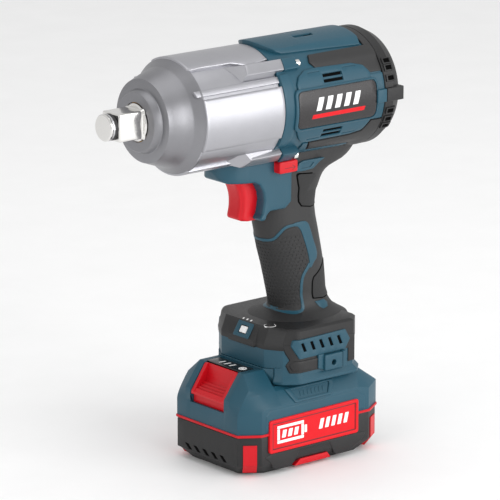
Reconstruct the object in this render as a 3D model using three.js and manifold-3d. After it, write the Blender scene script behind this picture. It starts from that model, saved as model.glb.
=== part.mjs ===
// A cordless high-torque impact wrench with a 3/4 inch square drive and a slide-on battery.
// Millimetres. The nose points along -X, +Z is up and Y = 0 is the plane of symmetry.
// The origin is under the middle of the tool, on the surface that the battery stands on.
import * as THREE from "three";
import { mergeVertices } from "three/addons/utils/BufferGeometryUtils.js";
import Module from "manifold-3d";

const wasm = await Module();
wasm.setup();

// ---------------------------------------------------------------- driving dimensions
const GAP = 0.3; // clearance between pieces that touch
const AXIS_Z = 253; // height of the drive axis
const NOSE_X = -117.5; // tip of the anvil
const REAR_X = 117.5; // middle of the rear cap
const SQUARE = 19.05; // across the flats of the 3/4 inch drive
const CASE_REAR_X = 6; // joint between the hammer case and the motor housing
const CASE_R = 40.3;
const BARREL_R = 39.7; // motor housing under its plates and pads
const BARREL_REAR_X = 95;
const CAVITY_R = 36.2;
const PAD_R = 41.5; // raised side pads of the motor housing
const PLATE_R = 43; // raised top plate
const HALF_GAP = 0.15; // each clamshell half stops this far from the plane of symmetry

const MODULE = 1;
const SUN_TEETH = 12;
const PLANET_TEETH = 15;
const RING_TEETH = SUN_TEETH + 2 * PLANET_TEETH;
const PLANET_ORBIT = ((SUN_TEETH + PLANET_TEETH) * MODULE) / 2;
const PRESSURE = THREE.MathUtils.degToRad(25);
const BACKLASH = 0.1; // taken off each flank

const LUG_FRONT_X = -63; // engagement of the anvil and the hammer
const LUG_REAR_X = -55;
const WASHER_X = -34.6; // front of the spring washer inside the hammer
const CARRIER_X = -12; // front of the planet carrier
const GEAR_X = -7.6;
const GEAR_LENGTH = 8.6;

const BATTERY_FRONT_X = -30;
const BATTERY_REAR_X = 96;
const BATTERY_Y = 42.8;
const SEAM_Z = 29.7; // red gasket between the battery's two case halves
const FOOT_Z = 59.5; // underside of the tool's foot
const FOOT_TOP_Z = 99;
const TERMINALS_Y = [-9, -3, 3, 9]; // power and signal contacts between the tool and the battery

// ---------------------------------------------------------------- geometry helpers
function manifoldOf(merged, flip) {
  const index = merged.index.array;
  const kept = [];
  for (let i = 0; i < index.length; i += 3) {
    const [a, b, c] = [index[i], index[i + 1], index[i + 2]];
    if (a !== b && b !== c && c !== a) kept.push(a, flip ? c : b, flip ? b : c);
  }
  const vertProperties = merged.attributes.position.array;
  return new wasm.Manifold(
    new wasm.Mesh({ numProp: 3, vertProperties, triVerts: new Uint32Array(kept) }),
  );
}

// A closed geometry as a solid whose faces point out.
function solid(geometry) {
  geometry.deleteAttribute("normal");
  geometry.deleteAttribute("uv");
  const merged = mergeVertices(geometry, 1e-4);
  const made = manifoldOf(merged, false);
  return made.volume() > 0 ? made : manifoldOf(merged, true);
}

const join = (first, ...rest) => rest.reduce((whole, piece) => whole.add(piece), first);
const cut = (first, ...tools) => tools.reduce((whole, tool) => whole.subtract(tool), first);

// The same solid on the other side of the plane of symmetry.
function mirrored(made) {
  return solid(geometryOf(made).scale(1, -1, 1));
}

const both = (made) => join(made, mirrored(made));

function geometryOf(made) {
  const mesh = made.getMesh();
  const geometry = new THREE.BufferGeometry();
  geometry.setAttribute("position", new THREE.BufferAttribute(mesh.vertProperties, 3));
  geometry.setIndex(new THREE.BufferAttribute(mesh.triVerts, 1));
  return geometry;
}

function block(x0, x1, y0, y1, z0, z1) {
  const geometry = new THREE.BoxGeometry(x1 - x0, y1 - y0, z1 - z0);
  return solid(geometry.translate((x0 + x1) / 2, (y0 + y1) / 2, (z0 + z1) / 2));
}

// A closed outline through the points, with every corner rounded to the radius.
function outline(points, radius = 0) {
  const corners = points.map(([u, v]) => new THREE.Vector2(u, v));
  if (!radius) return new THREE.Shape(corners);
  const shape = new THREE.Shape();
  corners.forEach((corner, i) => {
    const before = corners.at(i - 1);
    const after = corners[(i + 1) % corners.length];
    const near = (other) => Math.min(0.5, radius / corner.distanceTo(other));
    const start = corner.clone().lerp(before, near(before));
    const end = corner.clone().lerp(after, near(after));
    if (i === 0) shape.moveTo(start.x, start.y);
    else shape.lineTo(start.x, start.y);
    shape.quadraticCurveTo(corner.x, corner.y, end.x, end.y);
  });
  return shape;
}

function prism(points, depth, radius) {
  const settings = { depth, bevelEnabled: false, curveSegments: 2 };
  return new THREE.ExtrudeGeometry(outline(points, radius), settings);
}

// Prisms: a side view (x, z) pushed along Y, a front view (y, z) along X, a plan (x, y) along Z.
function alongY(points, y0, y1, radius) {
  return solid(prism(points, y1 - y0, radius).rotateX(Math.PI / 2).translate(0, y1, 0));
}

function alongX(points, x0, x1, radius) {
  const turn = new THREE.Matrix4().set(0, 0, 1, x0, 1, 0, 0, 0, 0, 1, 0, 0, 0, 0, 0, 1);
  return solid(prism(points, x1 - x0, radius).applyMatrix4(turn));
}

function alongZ(points, z0, z1, radius) {
  return solid(prism(points, z1 - z0, radius).translate(0, 0, z0));
}

// A solid of revolution about the drive axis; the profile's points are [x, r].
function turned(profile, segments = 24) {
  const points = profile.map(([x, r]) => new THREE.Vector2(r, x));
  if (profile[0][1] > 0) points.push(points[0].clone());
  const geometry = new THREE.LatheGeometry(points, segments);
  return solid(geometry.rotateZ(-Math.PI / 2).translate(0, 0, AXIS_Z));
}

function cylinderX(x0, x1, r, y = 0, z = AXIS_Z, segments = 10) {
  const geometry = new THREE.CylinderGeometry(r, r, x1 - x0, segments);
  return solid(geometry.rotateZ(Math.PI / 2).translate((x0 + x1) / 2, y, z));
}

function cylinderY(y0, y1, r, x, z, segments = 24) {
  const geometry = new THREE.CylinderGeometry(r, r, y1 - y0, segments);
  return solid(geometry.translate(x, (y0 + y1) / 2, z));
}

function cylinderZ(z0, z1, r, x, y, segments = 16) {
  const geometry = new THREE.CylinderGeometry(r, r, z1 - z0, segments);
  return solid(geometry.rotateX(Math.PI / 2).translate(x, y, (z0 + z1) / 2));
}

const ringX = (x0, x1, inner, outer, segments = 20) =>
  turned([[x0, inner], [x0, outer], [x1, outer], [x1, inner]], segments);

// A point on a circle about the drive axis; angle 0 is up and 90 is the tool's left, -Y.
function onBarrel(r, degrees) {
  const angle = THREE.MathUtils.degToRad(degrees);
  return [-r * Math.sin(angle), AXIS_Z + r * Math.cos(angle)];
}

// Part of a ring about the drive axis, between two angles.
function sector(x0, x1, inner, outer, from, to) {
  const steps = Math.max(2, Math.ceil(Math.abs(to - from) / 15));
  const points = [];
  for (let i = 0; i <= steps; i++) points.push(onBarrel(outer, from + ((to - from) * i) / steps));
  for (let i = steps; i >= 0; i--) points.push(onBarrel(inner, from + ((to - from) * i) / steps));
  return alongX(points, x0, x1);
}

// A skin through rings of points, closed at both ends.
function loft(rings) {
  const count = rings[0].length;
  const positions = [];
  const index = [];
  rings.forEach((ring) => ring.forEach((p) => positions.push(...p)));
  for (let i = 0; i < rings.length - 1; i++) {
    for (let j = 0; j < count; j++) {
      const [a, b] = [i * count + j, i * count + ((j + 1) % count)];
      index.push(a, b, b + count, a, b + count, a + count);
    }
  }
  [0, rings.length - 1].forEach((i) => {
    const middle = positions.length / 3;
    const ring = rings[i];
    positions.push(...[0, 1, 2].map((k) => ring.reduce((sum, p) => sum + p[k], 0) / count));
    for (let j = 0; j < count; j++) {
      const [a, b] = [i * count + j, i * count + ((j + 1) % count)];
      index.push(middle, i === 0 ? b : a, i === 0 ? a : b);
    }
  });
  const geometry = new THREE.BufferGeometry();
  geometry.setAttribute("position", new THREE.Float32BufferAttribute(positions, 3));
  geometry.setIndex(index);
  return solid(geometry);
}

// Toothed outline with involute flanks, centred on [cy, cz], one tooth pointing at the phase angle.
function gearOutline(teeth, tip, root, play, phase = 0, cy = 0, cz = AXIS_Z, steps = 2) {
  const pitch = (teeth * MODULE) / 2;
  const base = pitch * Math.cos(PRESSURE);
  const involute = (r) => {
    const t = Math.sqrt(Math.max(0, (r / base) ** 2 - 1));
    return t - Math.atan(t);
  };
  const half = Math.PI / (2 * teeth) - play / pitch;
  const flank = (r) => half + involute(pitch) - involute(Math.max(r, base));
  const radii = [];
  for (let i = 0; i <= steps; i++) radii.push(root + ((tip - root) * i) / steps);
  const points = [];
  for (let i = 0; i < teeth; i++) {
    const centre = phase + (i * 2 * Math.PI) / teeth;
    const at = (r, angle) => [cy - r * Math.sin(angle), cz + r * Math.cos(angle)];
    radii.forEach((r) => points.push(at(r, centre - flank(r))));
    [...radii].reverse().forEach((r) => points.push(at(r, centre + flank(r))));
  }
  return points;
}

// A coil spring along +Z from the origin: its wire follows a helix.
function coilSpring(length, radius, wire, turns) {
  class Helix extends THREE.Curve {
    getPoint(t, target = new THREE.Vector3()) {
      const angle = t * turns * 2 * Math.PI;
      const height = wire + t * (length - 2 * wire);
      return target.set(radius * Math.cos(angle), radius * Math.sin(angle), height);
    }
  }
  const ring = [];
  for (let i = 0; i < 5; i++) {
    const angle = (i * 2 * Math.PI) / 5;
    ring.push(new THREE.Vector2(wire * Math.cos(angle), wire * Math.sin(angle)));
  }
  const settings = { steps: Math.round(turns * 9), bevelEnabled: false, extrudePath: new Helix() };
  return new THREE.ExtrudeGeometry(new THREE.Shape(ring), settings);
}

// ---------------------------------------------------------------- materials
const finish = (color, roughness, metalness) =>
  new THREE.MeshStandardMaterial({ color, roughness, metalness });
const teal = finish(0x2f6477, 0.55, 0);
const rubber = finish(0x333536, 0.8, 0);
const black = finish(0x222324, 0.6, 0);
const red = finish(0xe5303b, 0.45, 0);
const castMetal = finish(0xb4b6ba, 0.42, 0.85);
const steel = finish(0xc8cacd, 0.25, 1);
const darkSteel = finish(0x6a6c70, 0.35, 1);
const bronze = finish(0xa67c45, 0.4, 0.9);
const copper = finish(0xb5653a, 0.4, 0.9);
const lens = finish(0xf2f2f0, 0.1, 0);

const tool = new THREE.Group();
tool.name = "impact_wrench";

function add(name, made, material) {
  const mesh = new THREE.Mesh(geometryOf(made), material);
  mesh.name = name;
  tool.add(mesh);
}

// ---------------------------------------------------------------- handle and foot sections
// The handle's sections from the barrel down: height, middle, half depth and half width.
const HANDLE = [
  { z: 212, x: 52, a: 32, b: 20 },
  { z: 194, x: 39.5, a: 26.5, b: 17.6 },
  { z: 178, x: 37, a: 24.8, b: 17 },
  { z: 158, x: 40.7, a: 24.6, b: 17.2 },
  { z: 136, x: 46, a: 24, b: 17 },
  { z: 114, x: 49.8, a: 22.4, b: 16.4 },
  { z: 103, x: 49.8, a: 26.5, b: 20 },
  { z: 96, x: 47, a: 33, b: 28 },
];

// The handle as a skin, drawn in by the given wall, between two of its section heights.
function handleSkin(wall, top = 212, bottom = 96) {
  const squarish = (v) => Math.sign(v) * Math.abs(v) ** 0.86;
  const rings = HANDLE.filter((s) => s.z <= top && s.z >= bottom).map((s) => {
    const ring = [];
    for (let i = 0; i < 12; i++) {
      const angle = (i * Math.PI) / 6;
      const [x, y] = [squarish(Math.cos(angle)), squarish(Math.sin(angle))];
      ring.push([s.x + (s.a - wall) * x, (s.b - wall) * y, s.z]);
    }
    return ring;
  });
  return loft(rings);
}

// An outline whose edges are moved out by the distance.
function grown(points, distance) {
  const area = points.reduce((sum, [u, v], i) => {
    const [s, t] = points[(i + 1) % points.length];
    return sum + u * t - s * v;
  }, 0);
  const out = Math.sign(area) * distance;
  return points.map(([u, v], i) => {
    const [p, n] = [points.at(i - 1), points[(i + 1) % points.length]];
    const a = new THREE.Vector2(u - p[0], v - p[1]).normalize();
    const b = new THREE.Vector2(n[0] - u, n[1] - v).normalize();
    const reach = out / (1 + a.dot(b));
    return [u + (a.y + b.y) * reach, v - (a.x + b.x) * reach];
  });
}

const FOOT_PLAN = [[2.5, 15], [2.5, -15], [3, -24], [9, -35], [14.5, -42], [62, -42], [75, -30], [77, -12],
  [77, 12], [75, 30], [62, 42], [14.5, 42], [9, 35], [3, 24]];
const LAMP_PANEL = [[0, 62], [0, 88], [6.2, 98], [14, 98], [14, 62]];
const FOOT_WALL = 2;
const FOOT_BLACK_Z = 78; // the foot's black cover reaches down to here

// ---------------------------------------------------------------- tool housing
const TRIGGER_HOUSING = [[-29, 216], [-29, 209.5], [-25.8, 203.7], [-20.6, 202], [5, 201.3], [8.2, 188],
  [5, 174], [9, 174], [13, 180], [24, 180], [30, 185], [32, 190], [32, 218]];
const SWITCH_SPACE = [[8.5, 172], [6, 188], [8, 200.4], [30, 204], [44, 204], [44, 172]];
const UPPER_EAR = { x0: 13.2, x1: 21, r: 42.6, from: 37, to: 51 };
const LOWER_EAR = { x0: 15.4, x1: 21, r: 45.4, from: 136, to: 150 };

// The clamshell's outer shape, grown all round by a clearance so that it can also cut its neighbours.
function housingOuter(grow = 0) {
  const front = CASE_REAR_X + GAP - grow;
  const rear = BARREL_REAR_X + grow;
  const barrel = turned([[front, 0], [front, BARREL_R + grow], [rear, BARREL_R + grow], [rear, 0]]);
  const plate = sector(12 - grow, 87 + grow, 36, PLATE_R + grow, -25.5 - grow, 25.5 + grow);
  const plateEdge = sector(12 - grow, 87 + grow, 36, 41.2 + grow, -33 - grow, 33 + grow);
  const pads = both(sector(14 - grow, BARREL_REAR_X, 36, PAD_R + grow, 54 - grow, 124 + grow));
  const ears = [UPPER_EAR, LOWER_EAR].map((e) =>
    both(sector(e.x0 - grow, e.x1 + grow, 36, e.r + grow, e.from - grow, e.to + grow)));
  const lugs = both(block(88 - grow, rear, 34, 43.5 + grow, AXIS_Z - 4.4 - grow, AXIS_Z + 4.4 + grow));
  const triggerSide = grown(TRIGGER_HOUSING, grow);
  const triggerHousing = join(
    alongY(triggerSide, -14.5 - grow, 14.5 + grow, 2),
    alongY(triggerSide, -30, 30, 2).intersect(handleSkin(-grow)),
  );
  const neck = alongY(grown([[8, 222], [30, 176], [52, 176], [60, 222]], grow), -11.5 - grow, 11.5 + grow);
  const foot = alongZ(grown(FOOT_PLAN, grow - FOOT_WALL), FOOT_Z, 97 + grow, 4);
  const skirt = alongZ(grown(FOOT_PLAN, grow), FOOT_Z, FOOT_BLACK_Z - GAP + grow, 4);
  const lampPanel = alongY(grown(LAMP_PANEL, grow), -8.5 - grow, 8.5 + grow);
  const bosses = both(block(39 - grow, 54 + grow, 38, 45.6, 67 - grow, 77.6 + grow));
  return join(barrel, plate, plateEdge, pads, ...ears, lugs, triggerHousing, neck, handleSkin(2.6 - grow),
    foot, skirt, lampPanel, bosses);
}

// Everything that is hollow in the clamshell.
function housingInner() {
  const end = BARREL_REAR_X + 1;
  const barrel = turned([[-2, 0], [-2, CAVITY_R], [26, CAVITY_R], [26, 34.6], [68, 34.6], [68, CAVITY_R],
    [end, CAVITY_R], [end, 0]]);
  const caseSeat = turned([[-60, 0], [-60, CASE_R + GAP], [CASE_REAR_X + GAP, CASE_R + GAP],
    [CASE_REAR_X + GAP, 0]]);
  const lowerEarRoom = both(sector(-40, LOWER_EAR.x0, 30, LOWER_EAR.r + GAP, LOWER_EAR.from - 1,
    LOWER_EAR.to + 1));
  const upperEarRoom = both(sector(-40, UPPER_EAR.x0, 30, UPPER_EAR.r + GAP, UPPER_EAR.from - 1,
    UPPER_EAR.to + 1));
  const switchSpace = alongY(SWITCH_SPACE, -11, 11);
  const triggerMouth = block(-2, 20, -9.4, 9.4, 173, 200.7);
  const handle = handleSkin(6, 194, 103);
  const control = alongZ([[14, -30], [66, -30], [66, 30], [14, 30]], 74, 92, 3);
  const wireWays = join(block(38, 58, -8, 8, 90, 106), block(40, 58, -8, 8, 190, 222));
  const rail = join(block(-1, 71, -24.6, 24.6, FOOT_Z - 1, 70.6), block(-1, 71, -29, 29, 64.6, 70.6));
  const terminals = block(34, 62, -16, 16, 70, 75);
  const buttonSlide = block(16.6, 31.6, -30, 30, 205.3, 214.3);
  const hookHoles = both(cylinderY(30, 47, 2.1, 46.4, 71.6, 12));
  const lamp = alongY(grown(LAMP, GAP), -3.8, 3.8);
  const modeWell = cylinderZ(91, 101, 3.4, 9.5, -20.4, 16);
  return [barrel, caseSeat, lowerEarRoom, upperEarRoom, switchSpace, triggerMouth, handle, control,
    wireWays, rail, terminals, buttonSlide, hookHoles, lamp, modeWell];
}

const LAMP = [[2.6, 91.2], [5.2, 95.4], [9.6, 92.6], [7, 88.4]];
const SLOT_HEIGHTS = [274.2, 269, 237, 231.8]; // cooling slots in the side pads
const FOOT_SLOTS = 5;

function housingVents() {
  const slots = SLOT_HEIGHTS.map((z) => both(block(41, 57, 30, 46, z - 0.9, z + 0.9)));
  for (let i = 0; i < FOOT_SLOTS; i++) slots.push(both(block(22 + i * 8, 24 + i * 8, 27, 46, 81, 88.5)));
  return slots;
}

// Where each hammer case screw sits, behind its ear, from the front corner of the ear to its head.
const CASE_SCREWS = [
  { name: "upper_left", angle: 44, r: 39.4, side: 1 },
  { name: "upper_right", angle: 44, r: 39.4, side: -1 },
  { name: "lower_left", angle: 143, r: 41.6, side: 1 },
  { name: "lower_right", angle: 143, r: 41.6, side: -1 },
];
const CASE_SCREW_HEAD_X = 21.3;

function caseScrewRoom({ angle, r, side }) {
  const [y, z] = onBarrel(r, angle);
  return join(cylinderX(-3, 21.2, 2.4, y * side, z, 8), cylinderX(21, 28, 3.6, y * side, z, 10));
}

function caseScrew({ angle, r, side }) {
  const [y, z] = onBarrel(r, angle);
  const shank = cylinderX(0, CASE_SCREW_HEAD_X + 0.5, 1.9, y * side, z, 6);
  const head = cylinderX(CASE_SCREW_HEAD_X, CASE_SCREW_HEAD_X + 3, 3.2, y * side, z, 10);
  const recess = cylinderX(CASE_SCREW_HEAD_X + 1.4, CASE_SCREW_HEAD_X + 4, 1.5, y * side, z, 6);
  return cut(join(shank, head), recess);
}

// Clamshell screws, put in from the right side: place, and how far out each head is seated.
const BODY_SCREWS = [{ x: -14, z: 206.8, seat: 11.6 }, { x: 60, z: 208, seat: 12.4 },
  { x: 45, z: 128, seat: 12.4 }, { x: 69, z: 86, seat: 31 }];

const bodyScrewRoom = () => BODY_SCREWS.map(({ x, z, seat }) =>
  join(cylinderY(-8, 50, 1.9, x, z, 8), cylinderY(seat, 50, 3.6, x, z, 12)));

function bodyScrew({ x, z, seat }) {
  const head = cylinderY(seat + 0.3, seat + 2.5, 3.2, x, z, 10);
  const recess = cylinderY(seat + 1.3, seat + 3, 1.5, x, z, 6);
  return cut(join(cylinderY(-7, seat + 0.6, 1.6, x, z, 6), head), recess);
}

const halfSpace = (side) =>
  side < 0 ? block(-200, 200, -100, -HALF_GAP, -10, 320) : block(-200, 200, HALF_GAP, 100, -10, 320);

const caseScrewRooms = CASE_SCREWS.map(caseScrewRoom);
const shell = cut(housingOuter(), ...housingInner(), ...housingVents(), ...caseScrewRooms,
  ...bodyScrewRoom());
add("housing_left", shell.intersect(halfSpace(-1)), teal);
add("housing_right", shell.intersect(halfSpace(1)), teal);
BODY_SCREWS.forEach((place, i) => add(`housing_screw_${i + 1}`, bodyScrew(place, i), darkSteel));

// ---------------------------------------------------------------- rubber grip and bumper
const LOWER_STRIP = { x0: 36, from: 129, to: 152 };

// One continuous overmould on each half: handle, palm rest, strip under the barrel and foot cover.
function grip() {
  const footCover = cut(alongZ(FOOT_PLAN, FOOT_BLACK_Z, FOOT_TOP_Z, 4),
    both(alongY([[17, 90.5], [21, 78.6], [55, 78.6], [61, 84], [58, 92], [18, 92]], 36, 44)));
  const strips = both(sector(LOWER_STRIP.x0, BARREL_REAR_X, 39, 41.4, LOWER_STRIP.from, LOWER_STRIP.to));
  const palmRest = alongY([[34, 217], [34, 192], [62, 192], [72, 200], [94, 207], [95, 222], [40, 222]],
    -16, 16, 3);
  const underside = sector(62, BARREL_REAR_X, 39, 42.4, 140, 220);
  return cut(join(handleSkin(0), footCover, strips, palmRest, underside), housingOuter(GAP),
    ...housingInner(), ...bodyScrewRoom());
}

const gripBoth = grip();
add("grip_left", gripBoth.intersect(halfSpace(-1)), rubber);
add("grip_right", gripBoth.intersect(halfSpace(1)), rubber);

function upperBumper() {
  const rails = both(sector(38, BARREL_REAR_X, 39, 41.4, 34, 52.5));
  const bridge = sector(88, BARREL_REAR_X, 39, 41.4, -40, 40);
  return cut(join(rails, bridge), housingOuter(GAP));
}
add("upper_bumper", upperBumper(), rubber);

// ---------------------------------------------------------------- badges
const BADGE_ROWS = [240, 266];
const BADGE_ENDS = [15, 86];
const BADGE_Y = 41.2;

function badge() {
  const corners = [[BADGE_ENDS[0], BADGE_ROWS[0]], [BADGE_ENDS[1], BADGE_ROWS[0]],
    [BADGE_ENDS[1], BADGE_ROWS[1]], [BADGE_ENDS[0], BADGE_ROWS[1]]];
  return cut(alongY(corners, -BADGE_Y - 1, -BADGE_Y + 3, 6),
    turned([[0, 0], [0, PAD_R + GAP], [92, PAD_R + GAP], [92, 0]], 96),
    block(80, 90, -50, -30, 248, 258));
}
add("badge_left", badge(), black);
add("badge_right", mirrored(badge()), black);

// ---------------------------------------------------------------- hammer case
function hammerCase() {
  const outer = turned([[-90, 0], [-90, 20.4], [-84.6, 22.4], [-81, 28.6], [-67.6, 34.1], [-61.2, 39],
    [-52, CASE_R], [CASE_REAR_X, CASE_R], [CASE_REAR_X, 0]]);
  const panels = both(sector(-62, CASE_REAR_X, 36, 41, 65, 116));
  const upperBosses = both(join(
    sector(-17, UPPER_EAR.x0 - GAP, 36, UPPER_EAR.r, UPPER_EAR.from, UPPER_EAR.to),
    sector(-26, -16, 36, 41, UPPER_EAR.from + 1, UPPER_EAR.to - 1),
  ));
  const lowerBosses = both(join(
    sector(-14, LOWER_EAR.x0 - GAP, 36, LOWER_EAR.r, LOWER_EAR.from, LOWER_EAR.to),
    sector(-26, -13, 36, 42, LOWER_EAR.from + 1, LOWER_EAR.to - 1),
  ));
  const pockets = both(join(sector(-66, -27, 37.2, 44, 31, 53), sector(-66, -27, 37.2, 44, 129, 147)));
  const inner = turned([[-91, 0], [-91, 13.8], [-88.6, 13.8], [-88.6, 16.8], [-66, 16.8], [-65.6, 30.5],
    [-30, 30.5], [-26, 35], [CASE_REAR_X + 1, 35], [CASE_REAR_X + 1, 0]]);
  const bossBores = CASE_SCREWS.map(({ angle, r, side }) => {
    const [y, z] = onBarrel(r, angle);
    return cylinderX(-2, 20, 2.4, y * side, z, 8);
  });
  return cut(join(cut(outer, pockets), panels, upperBosses, lowerBosses), inner, ...bossBores);
}
add("hammer_case", hammerCase(), castMetal);
CASE_SCREWS.forEach((screw) => add(`case_screw_${screw.name}`, caseScrew(screw), steel));
add("anvil_bushing", ringX(-88.2, -67, 13.1, 16.5), bronze);

// ---------------------------------------------------------------- rear cap
const CAP_SCREW_Y = 40.4;
const CAP_VENTS = [56, 64, 74, 109, 117, 126]; // degrees round from the top, on each side
const CAP_FRONT_X = BARREL_REAR_X + GAP;

function rearCap() {
  const outer = turned([[CAP_FRONT_X, 0], [CAP_FRONT_X, 41.6], [104, 41.6], [110.5, 37.6], [113.6, 33.4],
    [115, 20], [REAR_X, 15], [REAR_X, 0]]);
  const lugs = both(block(CAP_FRONT_X, 110, 34, 43.5, AXIS_Z - 4.8, AXIS_Z + 4.8));
  const hub = cylinderX(89.6, 114, 13.2);
  const inner = turned([[CAP_FRONT_X - 1, 0], [CAP_FRONT_X - 1, 38.2], [103, 38.2], [109, 35], [112, 31],
    [112, 0]]);
  const seat = turned([[89, 0], [89, 9.8], [96.4, 9.8], [96.4, 5.4], [100, 5.4], [100, 0]], 20);
  const sideVents = CAP_VENTS.map((angle) => both(sector(99.5, 107, 30, 44, angle - 2.2, angle + 2.2)));
  const backVents = [45, 135, 225, 315].map((angle) =>
    sector(108, 120, 22.5, 27.5, angle - 30, angle + 30));
  const screwRoom = both(join(cylinderX(80, 104.2, 1.8, CAP_SCREW_Y, AXIS_Z, 8),
    cylinderX(104, 112, 3.1, CAP_SCREW_Y, AXIS_Z, 10)));
  return cut(join(cut(join(outer, lugs), inner), hub), seat, ...sideVents, ...backVents, screwRoom);
}
add("rear_cap", rearCap(), black);

function capScrew(side) {
  const y = CAP_SCREW_Y * side;
  const head = cylinderX(104.4, 106.6, 2.7, y, AXIS_Z, 10);
  return cut(join(cylinderX(96.5, 105, 1.4, y, AXIS_Z, 6), head), cylinderX(105.5, 107, 1.3, y, AXIS_Z, 6));
}
add("cap_screw_left", capScrew(-1), darkSteel);
add("cap_screw_right", capScrew(1), darkSteel);

// ---------------------------------------------------------------- motor
const SHAFT_R = 4;
const STATOR = { x0: 27, x1: 67, inner: 19, outer: 34.2 };
const SLOTS = 6;

function statorCore() {
  const core = ringX(STATOR.x0, STATOR.x1, STATOR.inner, STATOR.outer);
  const slots = [];
  for (let i = 0; i < SLOTS; i++) {
    slots.push(sector(STATOR.x0 - 1, STATOR.x1 + 1, 21.5, 30, i * 60 - 18, i * 60 + 18));
  }
  return cut(core, ...slots);
}

function statorWindings() {
  const ends = [ringX(21.8, STATOR.x0 - GAP, 21, 31), ringX(STATOR.x1 + GAP, 72, 21, 31)];
  for (let i = 0; i < SLOTS; i++) ends.push(sector(26, 68, 21.9, 29.6, i * 60 - 17.2, i * 60 + 17.2));
  return join(...ends);
}
add("stator_core", statorCore(), darkSteel);
add("stator_windings", statorWindings(), copper);

function rotorShaft() {
  const tip = (SUN_TEETH * MODULE) / 2 + 0.8;
  const root = (SUN_TEETH * MODULE) / 2 - 1.05;
  const teeth = alongX(gearOutline(SUN_TEETH, tip, root, BACKLASH), GEAR_X, 1.4);
  const shaft = turned(
    [[1.3, 0], [1.3, 4.8], [14.8, 4.8], [14.8, SHAFT_R], [95.5, SHAFT_R], [95.5, 0]], 20);
  return join(teeth, shaft);
}
add("rotor_shaft", rotorShaft(), steel);
add("rotor_core", ringX(STATOR.x0, STATOR.x1, SHAFT_R + GAP, 18.3), darkSteel);

function fan() {
  const hub = ringX(74.5, 84, SHAFT_R + GAP, 10);
  const disc = ringX(82.4, 84, 9, 33);
  const blades = [];
  for (let i = 0; i < 9; i++) {
    const angle = (i * 2 * Math.PI) / 9;
    const blade = new THREE.BoxGeometry(8.2, 1.4, 23).translate(78.9, 0, 21).rotateX(angle);
    blades.push(solid(blade.translate(0, 0, AXIS_Z)));
  }
  return join(hub, disc, ...blades);
}
add("cooling_fan", fan(), black);
add("rear_bearing", ringX(90, 96, SHAFT_R + GAP, 9.5, 20), steel);
add("spindle_bearing", ringX(5.4, 11.6, 12.2, 18, 20), steel);

// ---------------------------------------------------------------- gearbox
const GEARBOX_PLATE = [[5.2, 34.6], [9, 35.6], [9, 21.5], [15, 21.5], [15, 13.5], [21.3, 13.5],
  [21.3, 8], [15, 8], [15, 5.2], [12.4, 5.2], [12.4, 18.3], [5.2, 18.3]];
add("gearbox_plate", turned(GEARBOX_PLATE, 24), castMetal);

function ringGear() {
  const pitch = (RING_TEETH * MODULE) / 2;
  const body = ringX(GEAR_X, GEAR_X + GEAR_LENGTH, 19, 34.6, 42);
  const teeth = gearOutline(RING_TEETH, pitch + 1.05, pitch - 0.8, -BACKLASH, 0, 0, AXIS_Z, 1);
  return cut(body, alongX(teeth, GEAR_X - 1, GEAR_X + GEAR_LENGTH + 1));
}
add("ring_gear", ringGear(), darkSteel);

const planetAngle = (i) => (i * 2 * Math.PI) / 3;
const planetPlace = (i) => [-PLANET_ORBIT * Math.sin(planetAngle(i)),
  AXIS_Z + PLANET_ORBIT * Math.cos(planetAngle(i))];

function planetGear(i) {
  const [y, z] = planetPlace(i);
  const pitch = (PLANET_TEETH * MODULE) / 2;
  const phase = planetAngle(i) + Math.PI + Math.PI / PLANET_TEETH;
  const teeth = gearOutline(PLANET_TEETH, pitch + 0.8, pitch - 1.05, BACKLASH, phase, y, z);
  return cut(alongX(teeth, GEAR_X, GEAR_X + GEAR_LENGTH), cylinderX(GEAR_X - 1, 3, 3.3, y, z, 10));
}

function spindle() {
  const shaft = turned([[-62, 0], [-62, 5.6], [-53.4, 5.6], [-53.4, 11], [-47.4, 11], [-47.4, 7.7],
    [-40.6, 7.7], [-40.6, 11], [CARRIER_X, 11], [CARRIER_X, 22.4], [GEAR_X - GAP, 22.4],
    [GEAR_X - GAP, 0]], 20);
  const rearPlate = ringX(GEAR_X + GEAR_LENGTH + GAP, 4.4, 7.7, 22.4);
  const hub = ringX(4, 11.4, 7.7, 11.9, 20);
  const posts = [];
  for (let i = 0; i < 3; i++) {
    const angle = planetAngle(i) + Math.PI / 3;
    const [y, z] = [-15.6 * Math.sin(angle), AXIS_Z + 15.6 * Math.cos(angle)];
    posts.push(cylinderX(GEAR_X - 1, 2, 2.8, y, z, 8),
      cylinderX(GEAR_X - 1, 2, 2.9, ...planetPlace(i), 10));
  }
  return join(shaft, rearPlate, hub, ...posts);
}
add("spindle", spindle(), steel);
for (let i = 0; i < 3; i++) add(`planet_gear_${i + 1}`, planetGear(i), darkSteel);

// ---------------------------------------------------------------- hammer and anvil
function hammer() {
  const body = turned([[-53.8, 14.6], [-53.8, 29], [-22, 29], [-22, 25.4], [-35, 25.4], [-35, 11.3],
    [-37, 11.3], [-37, 14.6]]);
  const lugs = [0, 180].map((turn) => sector(-62.6, -53, 15.2, 28, turn - 24 + 52, turn + 24 + 52));
  return join(body, ...lugs);
}
add("hammer", hammer(), darkSteel);
const BALL_R = 2.9;
[-1, 1].forEach((side, i) => {
  const ball = new THREE.SphereGeometry(BALL_R, 10, 6).translate(-44, side * 11, AXIS_Z);
  add(`cam_ball_${i + 1}`, solid(ball), steel);
});
add("spring_washer", ringX(WASHER_X, WASHER_X + 1.4, 11.4, 25, 20), steel);
const hammerSpringX = WASHER_X + 1.7;
const hammerSpring = coilSpring(CARRIER_X - GAP - hammerSpringX, 20.5, 1.6, 3.4);
add("hammer_spring", solid(hammerSpring.rotateY(Math.PI / 2).translate(hammerSpringX, 0, AXIS_Z)), steel);

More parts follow.
